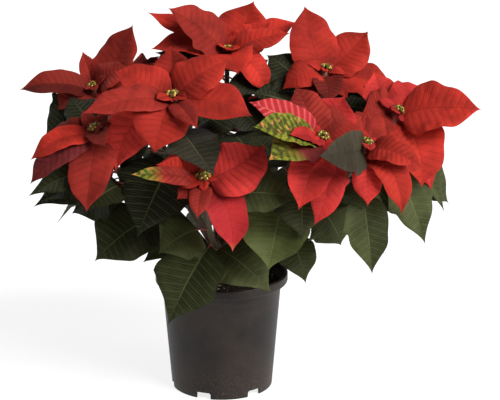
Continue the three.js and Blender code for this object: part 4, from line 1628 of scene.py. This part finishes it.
class PLANT_OT_leafy_stems(bpy.types.Operator):
    """Make each shoot's stem and its leaves"""

    bl_idname = "plant.leafy_stems"
    bl_label = "Leafy Stems"

    STEPS = 22
    SIDES = 12
    KNOBBLINESS = 0.0006
    PETIOLE_RADII = (1.25, 0.85)

    def execute(self, context):
        settings = context.scene.plant
        steps = self.STEPS
        upper = blade_material("leaf_face", settings, True, True)
        under = blade_material("leaf_back", settings, True, False)
        green = stalk_material("stem_skin", settings.stem_low, settings.stem_high)
        red = stalk_material("petiole_skin", settings.petiole, linear(140, 70, 48))
        for shoot in SHOOTS:
            node = f"leafy_stem_{shoot.number}"
            lists = [
                ("front", shoot.rows("front"), leaf_of),
                ("leaves", shoot.rows("leaves"), leaf_of),
                ("rule", rule_leaves(shoot), leaf_of),
            ]
            points = [point_of(*found) for found in blades_on(node, shoot, lists)]
            stem = [
                (shoot.along(min(i / steps, 0.9999)), part_way(STEM_RADII, i, steps))
                for i in range(steps + 1)
            ]
            meshes = [stalks_mesh([stem], green, self.SIDES, self.KNOBBLINESS)]
            if points:
                petioles = [petiole_of(point, self.PETIOLE_RADII) for point in points]
                meshes.append(stalks_mesh(petioles, red, PETIOLE_SIDES))
                meshes.append(blades_mesh(points, settings, True, upper, under))
            keep(joined(f"stem_and_leaves_{shoot.number}", meshes), "leaf", node)
        return {"FINISHED"}


class PLANT_OT_bracts(bpy.types.Operator):
    """Make each head's rosette of bracts"""

    bl_idname = "plant.bracts"
    bl_label = "Bracts"

    HUB_SIDES = 14
    KNOBBLINESS = 0.0004
    PETIOLE_RADII = (1.7, 1.1)

    def execute(self, context):
        settings = context.scene.plant
        steps = len(HUB_SWELL) - 1
        upper = blade_material("bract_face", settings, False, True)
        under = blade_material("bract_back", settings, False, False)
        skin = stalk_material("bract_stalk_skin", linear(112, 60, 40), linear(150, 44, 38))
        for shoot in SHOOTS:
            node = f"bracts_{shoot.number}"
            lists = [
                ("bracts", shoot.rows("bracts"), bract_of),
                ("fill", fill_bracts(shoot), bract_of),
            ]
            found = blades_on(node, shoot, lists) + inner_bracts(shoot)
            points = [point_of(*each) for each in found]
            for point in points:
                point["petiole"] *= BRACT_STALK
            hub = [
                (
                    shoot.head - shoot.axis * (HUB_LENGTH * (1 - i / steps)),
                    part_way(HUB_RADII, i, steps) + swell,
                )
                for i, swell in enumerate(HUB_SWELL)
            ]
            petioles = [petiole_of(point, self.PETIOLE_RADII) for point in points]
            meshes = [
                stalks_mesh([hub], skin, self.HUB_SIDES, self.KNOBBLINESS),
                stalks_mesh(petioles, skin, PETIOLE_SIDES),
                blades_mesh(points, settings, False, upper, under),
            ]
            keep(joined(f"bract_rosette_{shoot.number}", meshes), "bract", node)
        return {"FINISHED"}


class PLANT_OT_cyathia(bpy.types.Operator):
    """Make each head's cluster of cyathia"""

    bl_idname = "plant.cyathia"
    bl_label = "Cyathia"

    CUP = (
        (0, 0), (0.9, 0.1), (1.3, 0.9), (1.9, 2.2), (2.15, 3.4), (1.9, 4.4), (1.45, 5.0), (1.1, 5.1),
        (0.8, 4.6), (0, 4.4),
    )
    CUP_SIDES = 12
    STAMENS = 6
    # Of each ring: the degrees between two, how far they lean, how far out they stand, their size.
    INNER_RING = (90, 0.8, 1.8, 1.0)
    OUTER_RING = (45, 1.35, 3.4, 0.8)
    INNER_COUNT = 4

    def execute(self, context):
        cyathium = self.cyathium()
        values = {
            "Cyathium": cyathium,
            "Cup": cyathium_material("cyathium_cup", linear(66, 74, 24), linear(132, 132, 44)),
            "Gland": cyathium_material("cyathium_gland", linear(206, 176, 50), linear(232, 212, 104)),
            "Stamens": cyathium_material("cyathium_stamens", linear(120, 20, 18), linear(176, 50, 30)),
        }
        for shoot in SHOOTS:
            points = [self.point(shoot, k) for k in range(CYATHIA)]
            cluster = tree_of(cluster_tree).run(points_mesh(points), values)
            cluster.shade_smooth()
            piece = object_of(f"cyathia_cluster_{shoot.number}", cluster)
            keep(piece, "cyathium", f"cyathia_{shoot.number}")
        bpy.data.objects.remove(cyathium)
        return {"FINISHED"}

    def point(self, shoot, k):
        """One cyathium's root, way and size: the first in the middle, the rest in two rings."""
        foot = shoot.head + shoot.axis * (GAP + 0.1)
        if k == 0:
            return {"root": foot * MM, "way": shoot.axis, "size": 1.1}
        step, lean, out, size = self.INNER_RING if k <= self.INNER_COUNT else self.OUTER_RING
        side = turn(shoot.right, shoot.axis, k * step + 40 * chance(shoot.index * 3 + k))
        way = (shoot.axis + side * lean).normalized()
        size = size * near_one(0.3, shoot.index * 5 + k)
        return {"root": (foot + side * out) * MM, "way": way, "size": size}

    def cyathium(self):
        """A cup 6 mm tall with a gland on one side and a tuft of stamens. part tells them apart."""
        mesh = lathe(self.CUP, self.CUP_SIDES)
        part = mesh.faces.layers.float.new("part")

        def mark(verts, which):
            for face in {face for vert in verts for face in vert.link_faces}:
                face[part] = which

        lip = bmesh.ops.create_uvsphere(mesh, u_segments=10, v_segments=6, radius=1.0)["verts"]
        for vert in lip:
            x, y, z = vert.co
            vert.co = Vector((2.1 + 0.85 * x, 1.35 * y, 4.1 + 0.75 * z - 0.35 * x)) * MM
        mark(lip, 1.0)
        for k in range(self.STAMENS):
            angle = math.tau * k / self.STAMENS
            out = 0.35 * 1.9 if k else 0.0
            place = Vector((out * math.cos(angle), out * math.sin(angle), 5.4 + 0.4 * (k % 2))) * MM
            ball = bmesh.ops.create_icosphere(mesh, subdivisions=1, radius=0.42 * MM)["verts"]
            for vert in ball:
                vert.co.z *= 2.1
                vert.co += place
            mark(ball, 2.0)
        return object_of("cyathium", data_of("cyathium", mesh))


class PLANT_OT_stage(bpy.types.Operator):
    """Make the floor, the light and the camera"""

    bl_idname = "plant.stage"
    bl_label = "Stage"

    FLOOR_HALF = 8.0
    CAMERA_TARGET = Vector((0.030, 0.0, 0.2025))
    CAMERA_DISTANCE = 1.765
    CAMERA_RISE = 15.6
    LENS = 121.6
    SENSOR = 36.0

    def execute(self, context):
        settings = context.scene.plant_stage
        scene = context.scene
        mesh = bmesh.new()
        bmesh.ops.create_grid(mesh, x_segments=1, y_segments=1, size=self.FLOOR_HALF)
        floor = object_of("floor", data_of("floor", mesh))
        floor.data.materials.append(paper_material(settings.floor_glow))
        floor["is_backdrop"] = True

        world = bpy.data.worlds.new("soft_room")
        world.use_nodes = True
        backdrop = world.node_tree.nodes["Background"]
        backdrop.inputs["Color"].default_value = (1.0, 1.0, 1.0, 1.0)
        backdrop.inputs["Strength"].default_value = settings.sky
        scene.world = world
        scene.view_settings.view_transform = "Standard"
        for name, strength, place in (
            ("key_light", settings.key, (1.6, -1.3, 1.85)),
            ("fill_light", settings.fill, (1.9, -0.5, 0.4)),
            ("back_light", settings.back, (-1.3, 1.5, 1.4)),
        ):
            light = bpy.data.lights.new(name, "SUN")
            light.energy = strength
            light.angle = settings.spread
            lamp = object_of(name, light)
            lamp.location = place
            lamp.rotation_euler = self.looking(self.CAMERA_TARGET - Vector(place))

        rise = math.radians(self.CAMERA_RISE)
        back = Vector((0, -math.cos(rise), math.sin(rise))) * self.CAMERA_DISTANCE
        camera_data = bpy.data.cameras.new("camera")
        camera_data.sensor_width = self.SENSOR
        camera_data.lens = self.LENS
        camera_data.clip_end = 50.0
        camera = object_of("camera", camera_data)
        camera.location = self.CAMERA_TARGET + back
        camera.rotation_euler = self.looking(-back)
        scene.camera = camera
        return {"FINISHED"}

    @staticmethod
    def looking(way):
        """The turn of a lamp or a camera that looks along a way."""
        return way.to_track_quat("-Z", "Y").to_euler()


class PLANT_PT_panel(bpy.types.Panel):
    """Lists the plant's parts in the order they are made"""

    bl_idname = "PLANT_PT_panel"
    bl_label = "Poinsettia"
    bl_space_type = "VIEW_3D"
    bl_region_type = "UI"
    bl_category = "Poinsettia"

    def draw(self, context):
        for operator in OPERATORS:
            self.layout.operator(operator.bl_idname)
        for group in (context.scene.plant, context.scene.plant_pot, context.scene.plant_stage):
            for key in type(group).__annotations__:
                self.layout.prop(group, key)


OPERATORS = (
    PLANT_OT_stage,
    PLANT_OT_pot,
    PLANT_OT_soil,
    PLANT_OT_trunk,
    PLANT_OT_leafy_stems,
    PLANT_OT_bracts,
    PLANT_OT_cyathia,
)
CLASSES = (PlantSettings, PotSettings, StageSettings, *OPERATORS, PLANT_PT_panel)


def register():
    for each in CLASSES:
        bpy.utils.register_class(each)
    bpy.types.Scene.plant = PointerProperty(type=PlantSettings)
    bpy.types.Scene.plant_pot = PointerProperty(type=PotSettings)
    bpy.types.Scene.plant_stage = PointerProperty(type=StageSettings)


def unregister():
    del bpy.types.Scene.plant_stage
    del bpy.types.Scene.plant_pot
    del bpy.types.Scene.plant
    for each in reversed(CLASSES):
        bpy.utils.unregister_class(each)


def main():
    register()
    bpy.ops.plant.stage()
    bpy.ops.plant.pot()
    bpy.ops.plant.soil()
    bpy.ops.plant.trunk()
    bpy.ops.plant.leafy_stems()
    bpy.ops.plant.bracts()
    bpy.ops.plant.cyathia()
    boxes = {"cad": CAD_BOX, "visual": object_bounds()}
    {key: [list(corner) for corner in box] for key, box in boxes.items()}


if __name__ == "__main__":
    main()
